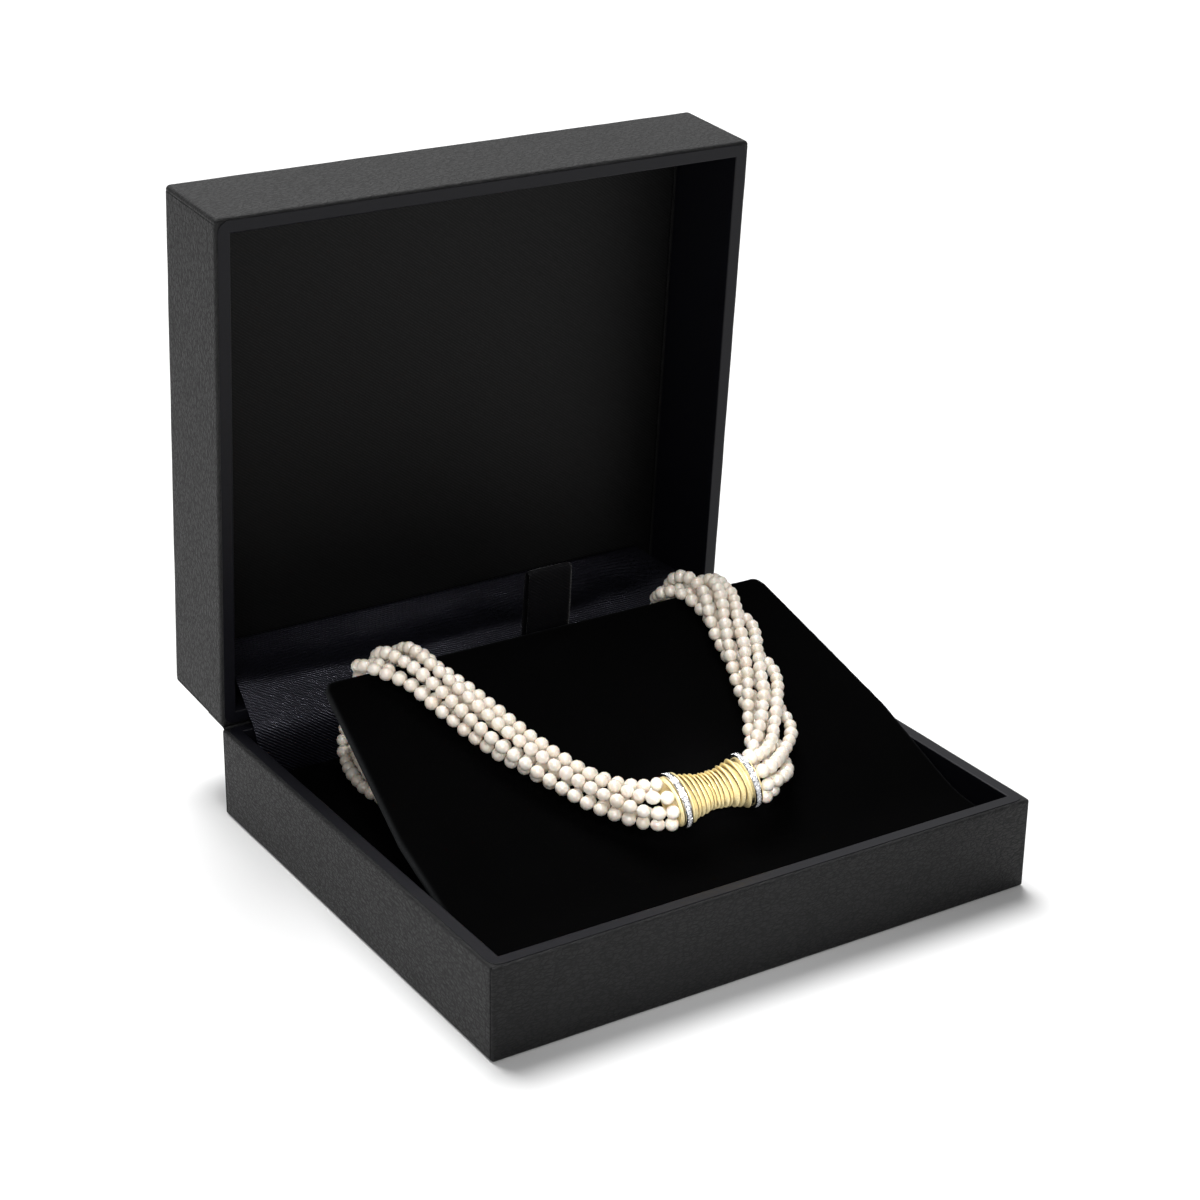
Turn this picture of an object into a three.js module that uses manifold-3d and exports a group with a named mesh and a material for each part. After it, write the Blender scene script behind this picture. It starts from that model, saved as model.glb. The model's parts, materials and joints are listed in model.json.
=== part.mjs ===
// A six-strand twisted pearl necklace, laid over the raised flap of its hinged jewellery box.
// Millimetres. +X runs along the box's width, -Y is its front and +Z is up.
// The origin is the middle of the box's underside.

import * as THREE from 'three';
import { mergeVertices } from 'three/addons/utils/BufferGeometryUtils.js';
import Module from 'manifold-3d';

// ---- Driving dimensions ----

const GAP = 0.3; // left between pieces that touch
const BEYOND = 10; // how far a cutting solid reaches past what it cuts

const CASE = { width: 180, depth: 161, height: 28.4, wall: 4, floor: 3 };
const HINGE = { y: CASE.depth / 2, z: 28.6 };
const LID = { depth: 33.7, rimGap: 0.2, topBoard: 2, openDegrees: 85.9 };
const LINER = { thickness: 1.2, belowRim: 2 };
const PANEL = { thickness: 1.2 };
const PAD = { top: 18, rearY: 65 };

// The flap lies flat along the front of the tray, then rises to the rear at one slope.
const FLAP = {
  thickness: 3,
  slope: 0.39,
  frontY: -74.6,
  flatTopZ: PAD.top + GAP + 3,
  rearY: 37,
  rearTopZ: 57.75,
  halfWidth: 84,
  rearHalfWidth: 77,
  taperStartY: -20,
  cornerRadius: 4,
};
const STRUT = { halfWidth: 45, thickness: 2, y: 4 };
const TAB = {
  halfWidth: 7.5,
  ply: 1,
  slit: 1.4,
  centreX: -0.4,
  baseY: 41,
  baseZ: 50,
  topZ: 77.5,
  lean: 2.5,
};

// The cloth over the hinge starts on the lid's panel at one height and runs forward and down.
const GUSSET = { thickness: 1, frontHalfWidth: 82, rearHalfWidth: 72, startZ: 43, footY: 70 };
const GUSSET_SIDE = [
  { y: 96, z: 41 },
  { y: 85.3, z: 38.6 },
  { y: 79, z: 32.4 },
  { y: 75.8, z: 29.4 },
  { y: 73.6, z: 25 },
  { y: 71.5, z: 14 },
  { y: GUSSET.footY, z: 4.5 },
];

// The clasp's own axis is X. Radii are from that axis, distances from its middle.
const CLASP = { x: 4.7, y: -41.2, ringRadius: 8.5, segments: 24, slant: 0.25 };
const RING = { inner: 10.7, outer: 13.0, bore: 6.3, bevel: 0.5 };
const RIBS = { count: 14, reach: 10.35, waistRadius: 5.0, flareRadius: 7.9, flarePower: 1.8, depth: 1.1 };
const END_PLATE = {
  inner: 13.3,
  dish: 13.6,
  lip: 14.1,
  dishRadius: 6.9,
  lipRadius: 7.2,
  edgeRadius: 7.6,
  bevel: 0.4,
};
const CORE_RADIUS = 6.0;

// The bundle's section is an ellipse of thread centres that turns as it runs. Stations are shares of
// the bundle's length. Where a station has seats, each thread has its own place in the section: the
// threads ring the clasp's ends, and they spread into little more than one layer over the flap's edge.
const STRAND_COUNT = 6;
const PEARL = { pitch: 4.2, radius: 2.0, neckRadius: 0.7, sides: 5 };
const THREAD = { radius: 0.25, guideStep: 3 }; // one guide point of a thread's curve each step
const SETTLING = { rounds: 80, apart: 2 * PEARL.radius + 0.15, off: PEARL.radius + GAP + 0.1, reach: 5 };
const LYING = { halfWidth: 6.0, halfHeight: 3.2 };
const GATHERED = { halfWidth: 5.2, halfHeight: 3.2 };
const PLATE_SEAT_RADIUS = 6.15;
const seatsOnPlate = (degrees) => degrees.map((turn) => ({
  up: PLATE_SEAT_RADIUS * Math.cos(THREE.MathUtils.degToRad(turn)),
  side: PLATE_SEAT_RADIUS * Math.sin(THREE.MathUtils.degToRad(turn)),
}));
const SEATS = {
  leftPlate: seatsOnPlate([335, 32, 105, 165, 238, 295]),
  leftCrest: [
    { side: 8.3, up: -1.1 },
    { side: 0.9, up: -1.1 },
    { side: -6.4, up: -1.1 },
    { side: -10.8, up: -0.9 },
    { side: -2.8, up: 1.2 },
    { side: 4.6, up: 1.2 },
  ],
  rightCrest: [
    { side: -2.6, up: -1.1 },
    { side: 4.9, up: 2.5 },
    { side: 11.3, up: -1.1 },
    { side: 7.05, up: -1.1 },
    { side: 2.75, up: -1.1 },
    { side: -7.4, up: -1.1 },
  ],
  rightPlate: seatsOnPlate([238, 295, 335, 32, 105, 165]),
};
const STATIONS = [
  { at: 0, turns: -0.03, slanted: 1, ...GATHERED, seats: SEATS.leftPlate },
  { at: 0.035, turns: 0.05, slanted: 0, ...GATHERED },
  { at: 0.08, turns: 0.11, slanted: 0, ...GATHERED },
  { at: 0.12, turns: 0.165, slanted: 0, ...LYING },
  { at: 0.18, turns: 0.25, slanted: 0, ...LYING },
  { at: 0.215, turns: 0.3, slanted: 0, ...LYING, seats: SEATS.leftCrest },
  { at: 0.25, turns: 0.35, slanted: 0, ...LYING },
  { at: 0.75, turns: 0.84, slanted: 0, ...LYING },
  { at: 0.785, turns: 0.88, slanted: 0, ...LYING, seats: SEATS.rightCrest },
  { at: 0.82, turns: 0.97, slanted: 0, ...LYING },
  { at: 0.85, turns: 1.11, slanted: 0, ...LYING, loose: 1 },
  { at: 0.965, turns: 1.52, slanted: 0, ...LYING, loose: 1 },
  { at: 1, turns: 1.62, slanted: 1, ...LYING, seats: SEATS.rightPlate },
];
// Where the bundle is loose, threads bow out to this share of its half width on its outer side.
const BOW = { reach: 1.17, power: 1.8 };
const BUNDLE_LIFT = LYING.halfHeight + PEARL.radius + 0.5; // the bundle's middle above a surface

// ---- Fineness of curved outlines ----

const CORNER_STEPS = 4;
const FOLD_POINTS = 6;
const BAND_STEPS = 16;

// ---- Materials ----

function finish(color, roughness, metalness = 0) {
  return new THREE.MeshStandardMaterial({ color, roughness, metalness });
}

const leatherette = () => finish(0x2b2c2f, 0.6);
const velvet = () => finish(0x070708, 0.95);
const satin = () => finish(0x15161d, 0.4);
const board = () => finish(0x101012, 0.8);
const pearl = () => finish(0xf1e6dc, 0.25);
const gold = () => finish(0xe6b95c, 0.2, 1);
const whiteGold = () => finish(0xdcdde2, 0.2, 1);

// ---- Solids ----

const wasm = await Module();
wasm.setup();

// A closed geometry as a manifold solid.
function solid(geometry) {
  const bare = geometry.clone();
  bare.deleteAttribute('normal');
  bare.deleteAttribute('uv');
  const merged = mergeVertices(bare, 1e-4);
  return new wasm.Manifold(
    new wasm.Mesh({
      numProp: 3,
      vertProperties: merged.attributes.position.array,
      triVerts: new Uint32Array(merged.index.array),
    }),
  );
}

// A manifold solid as a geometry again.
function geometryOf(made) {
  const mesh = made.getMesh();
  const geometry = new THREE.BufferGeometry();
  geometry.setAttribute('position', new THREE.BufferAttribute(mesh.vertProperties, 3));
  geometry.setIndex(new THREE.BufferAttribute(mesh.triVerts, 1));
  geometry.computeVertexNormals();
  return geometry;
}

// A block between two corners.
function block([x0, x1], [y0, y1], [z0, z1]) {
  const geometry = new THREE.BoxGeometry(x1 - x0, y1 - y0, z1 - z0);
  return geometry.translate((x0 + x1) / 2, (y0 + y1) / 2, (z0 + z1) / 2);
}

const span = (half) => [-half, half];

// A side outline of (y, z) points, carried across the box to both half widths.
function acrossBox(outline, halfWidth) {
  const geometry = new THREE.ExtrudeGeometry(new THREE.Shape(outline), {
    depth: 2 * halfWidth,
    bevelEnabled: false,
  });
  geometry.translate(0, 0, -halfWidth);
  const turn = new THREE.Matrix4().makeBasis(
    new THREE.Vector3(0, 1, 0),
    new THREE.Vector3(0, 0, 1),
    new THREE.Vector3(1, 0, 0),
  );
  return geometry.applyMatrix4(turn);
}

// A plan outline of (x, y) points, carried up from z0 to z1.
function upwards(shape, z0, z1) {
  const geometry = new THREE.ExtrudeGeometry(shape, {
    depth: z1 - z0,
    bevelEnabled: false,
    curveSegments: CORNER_STEPS,
  });
  return geometry.translate(0, 0, z0);
}

// The outline of a band that follows a side curve of (y, z) points at an even thickness.
function bandOutline(points, thickness, steps) {
  const curve = new THREE.SplineCurve(points);
  const above = [];
  const below = [];
  for (let i = 0; i <= steps; i++) {
    const middle = curve.getPoint(i / steps);
    const along = curve.getTangent(i / steps);
    const out = new THREE.Vector2(-along.y, along.x).multiplyScalar(thickness / 2);
    above.push(middle.clone().add(out));
    below.unshift(middle.clone().sub(out));
  }
  const outline = [...above, ...below];
  return THREE.ShapeUtils.isClockWise(outline) ? outline.reverse() : outline;
}

function piece(name, geometry, material) {
  const mesh = new THREE.Mesh(geometry, material);
  mesh.name = name;
  return mesh;
}

// ---- Box: tray, liner and pad ----

const inside = { x: CASE.width / 2 - CASE.wall, y: CASE.depth / 2 - CASE.wall };
const liner = { x: inside.x - GAP, y: inside.y - GAP };
const lined = { x: liner.x - LINER.thickness, y: liner.y - LINER.thickness };

function caseTray() {
  const outer = block(span(CASE.width / 2), span(CASE.depth / 2), [0, CASE.height]);
  const hollow = block(span(inside.x), span(inside.y), [CASE.floor, CASE.height + BEYOND]);
  return geometryOf(solid(outer).subtract(solid(hollow)));
}

function trayLiner() {
  const top = CASE.height - LINER.belowRim;
  const outer = block(span(liner.x), span(liner.y), [CASE.floor + GAP, top]);
  const hollow = block(span(lined.x), span(lined.y), [0, top + BEYOND]);
  return geometryOf(solid(outer).subtract(solid(hollow)));
}

function platformPad() {
  return block(span(lined.x - GAP), [-lined.y + GAP, PAD.rearY], [CASE.floor + GAP, PAD.top]);
}

// ---- Display flap, its strut and its pull tab ----

const flapAngle = Math.atan(FLAP.slope);
const flapNormal = new THREE.Vector3(0, -Math.sin(flapAngle), Math.cos(flapAngle));
const flapTopZ = (y) => FLAP.rearTopZ + FLAP.slope * (y - FLAP.rearY);
const flapUndersideZ = (y) => flapTopZ(y) - FLAP.thickness / Math.cos(flapAngle);

function displayFlap() {
  const bendY = FLAP.rearY + (FLAP.flatTopZ - FLAP.rearTopZ) / FLAP.slope;
  const bendShift = FLAP.thickness * Math.tan(flapAngle / 2);
  const underZ = FLAP.flatTopZ - FLAP.thickness;
  const side = [
    new THREE.Vector2(FLAP.frontY, underZ),
    new THREE.Vector2(bendY + bendShift, underZ),
    new THREE.Vector2(
      FLAP.rearY - FLAP.thickness * flapNormal.y,
      FLAP.rearTopZ - FLAP.thickness * flapNormal.z,
    ),
    new THREE.Vector2(FLAP.rearY, FLAP.rearTopZ),
    new THREE.Vector2(bendY, FLAP.flatTopZ),
    new THREE.Vector2(FLAP.frontY, FLAP.flatTopZ),
  ];
  const rearY = FLAP.rearY + FLAP.thickness;
  const corner = FLAP.cornerRadius;
  const plan = new THREE.Shape();
  plan.moveTo(-FLAP.halfWidth, FLAP.frontY - BEYOND);
  plan.lineTo(FLAP.halfWidth, FLAP.frontY - BEYOND);
  plan.lineTo(FLAP.halfWidth, FLAP.taperStartY);
  plan.lineTo(FLAP.rearHalfWidth, rearY - corner);
  plan.quadraticCurveTo(FLAP.rearHalfWidth, rearY, FLAP.rearHalfWidth - corner, rearY);
  plan.lineTo(-FLAP.rearHalfWidth + corner, rearY);
  plan.quadraticCurveTo(-FLAP.rearHalfWidth, rearY, -FLAP.rearHalfWidth, rearY - corner);
  plan.lineTo(-FLAP.halfWidth, FLAP.taperStartY);
  plan.closePath();
  const slab = solid(acrossBox(side, FLAP.halfWidth + BEYOND));
  return geometryOf(slab.intersect(solid(upwards(plan, 0, FLAP.rearTopZ + BEYOND))));
}

function flapStrut() {
  const top = flapUndersideZ(STRUT.y) - GAP;
  return block(
    span(STRUT.halfWidth),
    [STRUT.y, STRUT.y + STRUT.thickness],
    [PAD.top + GAP, top],
  );
}

// The loop of ribbon: two plies with a slit between them, joined by the fold at the top.
function pullTab() {
  const outerHalf = TAB.ply + TAB.slit / 2;
  const foldZ = TAB.topZ - outerHalf;
  const loop = new THREE.Shape();
  loop.moveTo(outerHalf, TAB.baseZ);
  loop.lineTo(outerHalf, foldZ);
  loop.absarc(0, foldZ, outerHalf, 0, Math.PI, false);
  loop.lineTo(-outerHalf, TAB.baseZ);
  loop.lineTo(-TAB.slit / 2, TAB.baseZ);
  loop.lineTo(-TAB.slit / 2, foldZ);
  loop.absarc(0, foldZ, TAB.slit / 2, Math.PI, 0, true);
  loop.lineTo(TAB.slit / 2, TAB.baseZ);
  const lean = TAB.lean / (TAB.topZ - TAB.baseZ);
  const outline = loop.getPoints(FOLD_POINTS).map((p) => new THREE.Vector2(
    TAB.baseY + p.x - lean * (p.y - TAB.baseZ),
    p.y,
  ));
  return acrossBox(outline, TAB.halfWidth).translate(TAB.centreX, 0, 0);
}

// ---- Lid: modelled closed, with its hinge line as the group's X axis ----

const lidInner = { front: -CASE.depth + CASE.wall, rear: -CASE.wall, top: LID.depth - LID.topBoard };

function lidShell() {
  const outer = block(span(CASE.width / 2), [-CASE.depth, 0], [LID.rimGap, LID.depth]);
  const hollow = block(span(inside.x), [lidInner.front, lidInner.rear], [-BEYOND, lidInner.top]);
  return geometryOf(solid(outer).subtract(solid(hollow)));
}

function lidLiner() {
  const depths = [LINER.belowRim, lidInner.top - GAP];
  const outer = block(span(liner.x), [lidInner.front + GAP, lidInner.rear - GAP], depths);
  const wall = GAP + LINER.thickness;
  const hollow = block(
    span(lined.x),
    [lidInner.front + wall, lidInner.rear - wall],
    [-BEYOND, LID.depth + BEYOND],
  );
  return geometryOf(solid(outer).subtract(solid(hollow)));
}

const panelFace = lidInner.top - GAP - PANEL.thickness;

function lidPanel() {
  const margin = 2 * GAP + LINER.thickness;
  return block(
    span(lined.x - GAP),
    [lidInner.front + margin, lidInner.rear - margin],
    [panelFace, panelFace + PANEL.thickness],
  );
}

function lid() {
  const group = new THREE.Group();
  group.position.set(0, HINGE.y, HINGE.z);
  group.rotation.x = -THREE.MathUtils.degToRad(LID.openDegrees);
  group.add(
    piece('lid_shell', lidShell(), leatherette()),
    piece('lid_liner', lidLiner(), board()),
    piece('lid_panel', lidPanel(), satin()),
  );
  return group;
}

// ---- Satin gusset: from the lid's panel, forward over the hinge and down behind the pad ----

function satinGusset() {
  const open = THREE.MathUtils.degToRad(LID.openDegrees);
  const panelOffset = (panelFace - (GUSSET.startZ - HINGE.z) * Math.cos(open)) / Math.sin(open);
  const rear = HINGE.y + panelOffset - GAP;
  const side = [{ y: rear, z: GUSSET.startZ }, ...GUSSET_SIDE].map((p) => new THREE.Vector2(p.y, p.z));
  const outline = bandOutline(side, GUSSET.thickness, BAND_STEPS);
  const band = acrossBox(outline, GUSSET.frontHalfWidth + BEYOND);
  const plan = new THREE.Shape([
    new THREE.Vector2(-GUSSET.frontHalfWidth, GUSSET.footY - BEYOND),
    new THREE.Vector2(GUSSET.frontHalfWidth, GUSSET.footY - BEYOND),
    new THREE.Vector2(GUSSET.frontHalfWidth, HINGE.y),
    new THREE.Vector2(GUSSET.rearHalfWidth, rear + 2 * GUSSET.thickness),
    new THREE.Vector2(-GUSSET.rearHalfWidth, rear + 2 * GUSSET.thickness),
    new THREE.Vector2(-GUSSET.frontHalfWidth, HINGE.y),
  ]);
  return geometryOf(solid(band).intersect(solid(upwards(plan, 0, GUSSET.startZ + BEYOND))));
}

// ---- Clasp ----

const claspZ = flapTopZ(CLASP.y) + (CLASP.ringRadius + GAP) / Math.cos(flapAngle);
const claspCentre = new THREE.Vector3(CLASP.x, CLASP.y, claspZ);

// A turned piece about the clasp's axis, from an outline of { r, x } points. Every disc of the clasp
// leans: it is sheared along the axis by its height above the flap.
function turned(outline) {
  const points = outline.map((p) => new THREE.Vector2(p.r, p.x));
  const geometry = new THREE.LatheGeometry(points, CLASP.segments).rotateZ(-Math.PI / 2);
  const lean = new THREE.Matrix4().set(
    1, -CLASP.slant * flapNormal.y, -CLASP.slant * flapNormal.z, claspCentre.x,
    0, 1, 0, claspCentre.y,
    0, 0, 1, claspCentre.z,
    0, 0, 0, 1,
  );
  return geometry.applyMatrix4(lean);
}

// The gold body: ribs that widen from the waist, a groove for each ring, a dished plate at each end.
function claspBarrel() {
  const right = [
    { r: CORE_RADIUS, x: RIBS.reach },
    { r: CORE_RADIUS, x: END_PLATE.inner },
    { r: END_PLATE.edgeRadius, x: END_PLATE.inner },
    { r: END_PLATE.edgeRadius, x: END_PLATE.lip - END_PLATE.bevel },
    { r: END_PLATE.lipRadius, x: END_PLATE.lip },
    { r: END_PLATE.dishRadius, x: END_PLATE.dish },
    { r: 0, x: END_PLATE.dish },
  ];
  const left = [...right].reverse().map((p) => ({ r: p.r, x: -p.x }));
  const ribs = [];
  const pitch = (2 * RIBS.reach) / RIBS.count;
  for (let i = 0; i < RIBS.count; i++) {
    const x = -RIBS.reach + pitch * (i + 0.5);
    const flare = Math.abs(x / RIBS.reach) ** RIBS.flarePower;
    const radius = RIBS.waistRadius + (RIBS.flareRadius - RIBS.waistRadius) * flare;
    ribs.push({ r: radius, x });
    if (i < RIBS.count - 1) ribs.push({ r: radius - RIBS.depth, x: x + pitch / 2 });
  }
  return turned([...left, ...ribs, ...right]);
}

function paveRing(side) {
  const half = (RING.outer - RING.inner) / 2;
  const middle = side * (RING.inner + half);
  const edge = CLASP.ringRadius - RING.bevel;
  return turned([
    { r: RING.bore, x: middle - half },
    { r: edge, x: middle - half },
    { r: CLASP.ringRadius, x: middle - half / 2 },
    { r: CLASP.ringRadius, x: middle + half / 2 },
    { r: edge, x: middle + half },
    { r: RING.bore, x: middle + half },
    { r: RING.bore, x: middle - half },
  ]);
}

// ---- Strands ----

const overFlap = (x, y, lift = BUNDLE_LIFT) =>
  new THREE.Vector3(x, y, flapTopZ(y) + lift / flapNormal.z);
const onPad = (x, y) => new THREE.Vector3(x, y, PAD.top + BUNDLE_LIFT);
const atClasp = (distance) => new THREE.Vector3(claspCentre.x + distance, CLASP.y, claspCentre.z);
const threadStart = END_PLATE.dish + 2 * GAP;
const threadStraight = threadStart + 3; // as far as this the threads run along the clasp's axis

// The bundle's route from the clasp's left end, over the flap's rear edge, down onto the pad,
// across behind the strut and back up to the clasp's right end. Each row holds a place and the
// direction that points away from what the bundle lies on there.
const away = {
  flap: flapNormal,
  crest: new THREE.Vector3(0, 0.1, 1),
  shoulder: new THREE.Vector3(0, 0.65, 0.75),
  rear: new THREE.Vector3(0, 0.97, 0.25),
  heel: new THREE.Vector3(0, 0.97, -0.25),
  foot: new THREE.Vector3(0, 0.6, -0.8),
  pad: new THREE.Vector3(0, 0, -1),
};
const ROUTE = [
  { place: atClasp(-threadStart), away: away.flap },
  { place: atClasp(-threadStraight), away: away.flap },
  { place: overFlap(-18.8, -36, 7.2), away: away.flap },
  { place: overFlap(-24.5, -30, 6.3), away: away.flap },
  { place: overFlap(-29.4, -22), away: away.flap },
  { place: overFlap(-35.2, -12.5), away: away.flap },
  { place: overFlap(-40.6, -2), away: away.flap },
  { place: overFlap(-45.5, 11), away: away.flap },
  { place: overFlap(-49.8, 22.5), away: away.flap },
  { place: overFlap(-52, 31, 4.6), away: away.flap },
  { place: new THREE.Vector3(-53, 37.2, 61.4), away: away.crest },
  { place: new THREE.Vector3(-53, 42, 59.4), away: away.shoulder },
  { place: new THREE.Vector3(-53, 46.2, 54.8), away: away.rear },
  { place: new THREE.Vector3(-53, 51, 48), away: away.rear },
  { place: new THREE.Vector3(-53, 55, 38.5), away: away.rear },
  { place: new THREE.Vector3(-53.5, 58.8, 30.5), away: away.heel },
  { place: new THREE.Vector3(-55, 57.5, 25.2), away: away.foot },
  { place: onPad(-57.2, 51), away: away.pad },
  { place: onPad(-59.7, 41.5), away: away.pad },
  { place: onPad(-60.3, 31.5), away: away.pad },
  { place: onPad(-56, 21.5), away: away.pad },
  { place: onPad(-46, 16.5), away: away.pad },
  { place: onPad(-30, 15.8), away: away.pad },
  { place: onPad(0, 15.5), away: away.pad },
  { place: onPad(28, 15.8), away: away.pad },
  { place: onPad(43, 18.5), away: away.pad },
  { place: onPad(51.5, 27), away: away.pad },
  { place: onPad(54.5, 38), away: away.pad },
  { place: onPad(54.5, 50), away: away.pad },
  { place: new THREE.Vector3(54, 57, 25.2), away: away.foot },
  { place: new THREE.Vector3(53.5, 58.6, 30.5), away: away.heel },
  { place: new THREE.Vector3(53.3, 55, 38.5), away: away.rear },
  { place: new THREE.Vector3(53.3, 51, 48), away: away.rear },
  { place: new THREE.Vector3(53.4, 46.2, 54.8), away: away.rear },
  { place: new THREE.Vector3(53.5, 42, 59.4), away: away.shoulder },
  { place: new THREE.Vector3(53.5, 37.2, 61.4), away: away.crest },
  { place: overFlap(53, 30.5, 4.6), away: away.flap },
  { place: overFlap(51.4, 20), away: away.flap },
  { place: overFlap(49.2, 9.6), away: away.flap },
  { place: overFlap(46.6, -0.6), away: away.flap },
  { place: overFlap(43.4, -10.5), away: away.flap },
  { place: overFlap(39.4, -20), away: away.flap },
  { place: overFlap(34.3, -28.6), away: away.flap },
  { place: overFlap(28.3, -36, 6.9), away: away.flap },
  { place: atClasp(threadStraight), away: away.flap },
  { place: atClasp(threadStart), away: away.flap },
];

const middleLine = new THREE.CatmullRomCurve3(ROUTE.map((row) => row.place), false, 'centripetal');
const awayLine = new THREE.CatmullRomCurve3(ROUTE.map((row) => row.away), false, 'catmullrom');
const middleLength = middleLine.getLength();

// The section and the turns made at a share of the bundle's length, between the two stations there.
function stationAt(share) {
  const next = Math.max(1, STATIONS.findIndex((row) => row.at >= share));
  const [a, b] = [STATIONS[next - 1], STATIONS[next]];
  const part = (share - a.at) / (b.at - a.at);
  const eased = THREE.MathUtils.smoothstep(part, 0, 1);
  const between = (name) => THREE.MathUtils.lerp(a[name] ?? 0, b[name] ?? 0, eased);
  return {
    turns: THREE.MathUtils.lerp(a.turns, b.turns, part),
    slanted: between('slanted'),
    halfWidth: between('halfWidth'),
    halfHeight: between('halfHeight'),
    loose: between('loose'),
    seats: a.seats ?? b.seats,
    seated: a.seats ? 1 - eased : b.seats ? eased : 0,
  };
}

// One thread's place at a share of the bundle's length: evenly spaced round the section, or in its seat.
function threadPoint(strand, share) {
  const t = middleLine.getUtoTmapping(share);
  const along = middleLine.getTangent(t);
  const side = along.clone().cross(awayLine.getPoint(t)).normalize();
  const up = side.clone().cross(along);
  const station = stationAt(share);
  const section = new THREE.EllipseCurve(0, 0, station.halfHeight, station.halfWidth, 0, 2 * Math.PI);
  const place = strand / STRAND_COUNT + station.turns;
  const round = section.getPointAt(place - Math.floor(place));
  if (round.y < 0) {
    const bowed = -BOW.reach * station.halfWidth * (-round.y / station.halfWidth) ** BOW.power;
    round.y = THREE.MathUtils.lerp(round.y, bowed, station.loose);
  }
  if (station.seated) {
    const seat = station.seats[strand];
    round.lerp(new THREE.Vector2(seat.up, seat.side), station.seated);
  }
  const offset = up.multiplyScalar(round.x).addScaledVector(side, round.y);
  offset.x -= CLASP.slant * station.slanted * offset.dot(flapNormal);
  return middleLine.getPoint(t).add(offset);
}

// How far a point must move, and which way, for a pearl there to clear the flap and the pad.
function offSupports(point) {
  const push = new THREE.Vector3();
  const edge = new THREE.Vector3(point.x, FLAP.rearY, FLAP.rearTopZ);
  const overTheFlap = point.y < FLAP.rearY && point.z > flapUndersideZ(point.y);
  const height = (point.z - flapTopZ(point.y)) * flapNormal.z;
  const fromEdge = point.distanceTo(edge);
  if (overTheFlap && height < SETTLING.off) push.addScaledVector(flapNormal, SETTLING.off - height);
  else if (point.y >= FLAP.rearY && fromEdge < SETTLING.off) {
    push.copy(point).sub(edge).setLength(SETTLING.off - fromEdge);
  }
  if (point.y < PAD.rearY) push.z += Math.max(0, PAD.top + SETTLING.off - point.z);
  return push;
}

// Moves the threads apart a little at a time, and off what they lie on, until pearls clear each
// other everywhere. Each push is eased along its thread, and the ends at the clasp stay.
function settle(threads) {
  const last = threads[0].length - 1;
  const piece = new THREE.Line3();
  const nearby = new THREE.Vector3();
  for (let round = 0; round < SETTLING.rounds; round++) {
    const pushes = threads.map((thread) => thread.map(offSupports));
    threads.forEach((thread, a) => threads.forEach((other, b) => {
      if (a === b) return;
      thread.forEach((point, i) => {
        const away = new THREE.Vector3(0, 0, SETTLING.apart);
        const from = Math.max(0, i - SETTLING.reach);
        const to = Math.min(last, i + SETTLING.reach);
        for (let j = from; j < to; j++) {
          piece.set(other[j], other[j + 1]).closestPointToPoint(point, true, nearby);
          if (nearby.distanceTo(point) < away.length()) away.copy(point).sub(nearby);
        }
        const short = SETTLING.apart - away.length();
        if (short > 0) pushes[a][i].add(away.setLength(short / 2));
      });
    }));
    threads.forEach((thread, a) => thread.forEach((point, i) => {
      if (i === 0 || i === last) return;
      const around = pushes[a][i - 1].clone().add(pushes[a][i + 1]);
      point.addScaledVector(pushes[a][i], 0.5).addScaledVector(around, 0.25);
    }));
  }
}

function layThreads() {
  const guides = Math.round(middleLength / THREAD.guideStep);
  const threads = [];
  for (let strand = 0; strand < STRAND_COUNT; strand++) {
    threads.push([]);
    for (let i = 0; i <= guides; i++) threads[strand].push(threadPoint(strand, i / guides));
  }
  settle(threads);
  return threads;
}

// A string of pearls: a tube along its thread with a ring at each neck and round each pearl's
// middle, drawn in at the necks and swelled at the middles.
function pearlStrand(points) {
  const thread = new THREE.CatmullRomCurve3(points, false, 'centripetal');
  const pearls = Math.round(thread.getLength() / PEARL.pitch);
  const rings = 2 * pearls;
  const section = new THREE.Shape();
  for (let i = 0; i < PEARL.sides; i++) {
    const angle = (2 * Math.PI * i) / PEARL.sides;
    const corner = [THREAD.radius * Math.cos(angle), THREAD.radius * Math.sin(angle)];
    if (i === 0) section.moveTo(...corner);
    else section.lineTo(...corner);
  }
  const tube = mergeVertices(
    bareExtrusion(section, { steps: rings, bevelEnabled: false, extrudePath: thread }),
    1e-4,
  );
  const centres = thread.getSpacedPoints(rings);
  const position = tube.attributes.position;
  const corner = new THREE.Vector3();
  for (let i = 0; i < position.count; i++) {
    corner.fromBufferAttribute(position, i);
    const ring = nearest(centres, corner);
    const radius = ring % 2 ? PEARL.radius : PEARL.neckRadius;
    corner.sub(centres[ring]).multiplyScalar(radius / THREAD.radius).add(centres[ring]);
    position.setXYZ(i, corner.x, corner.y, corner.z);
  }
  tube.computeVertexNormals();
  return tube;
}

function bareExtrusion(shape, options) {
  const geometry = new THREE.ExtrudeGeometry(shape, options);
  geometry.deleteAttribute('normal');
  geometry.deleteAttribute('uv');
  return geometry;
}

function nearest(centres, point) {
  let best = 0;
  centres.forEach((centre, i) => {
    if (centre.distanceToSquared(point) < centres[best].distanceToSquared(point)) best = i;
  });
  return best;
}

// ---- The whole ----

const box = new THREE.Group();
box.add(
  piece('case_tray', caseTray(), leatherette()),
  piece('tray_liner', trayLiner(), board()),
  piece('platform_pad', platformPad(), velvet()),
  piece('display_flap', displayFlap(), velvet()),
  piece('flap_strut', flapStrut(), board()),
  piece('pull_tab', pullTab(), satin()),
  piece('satin_gusset', satinGusset(), satin()),
  lid(),
);

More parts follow.
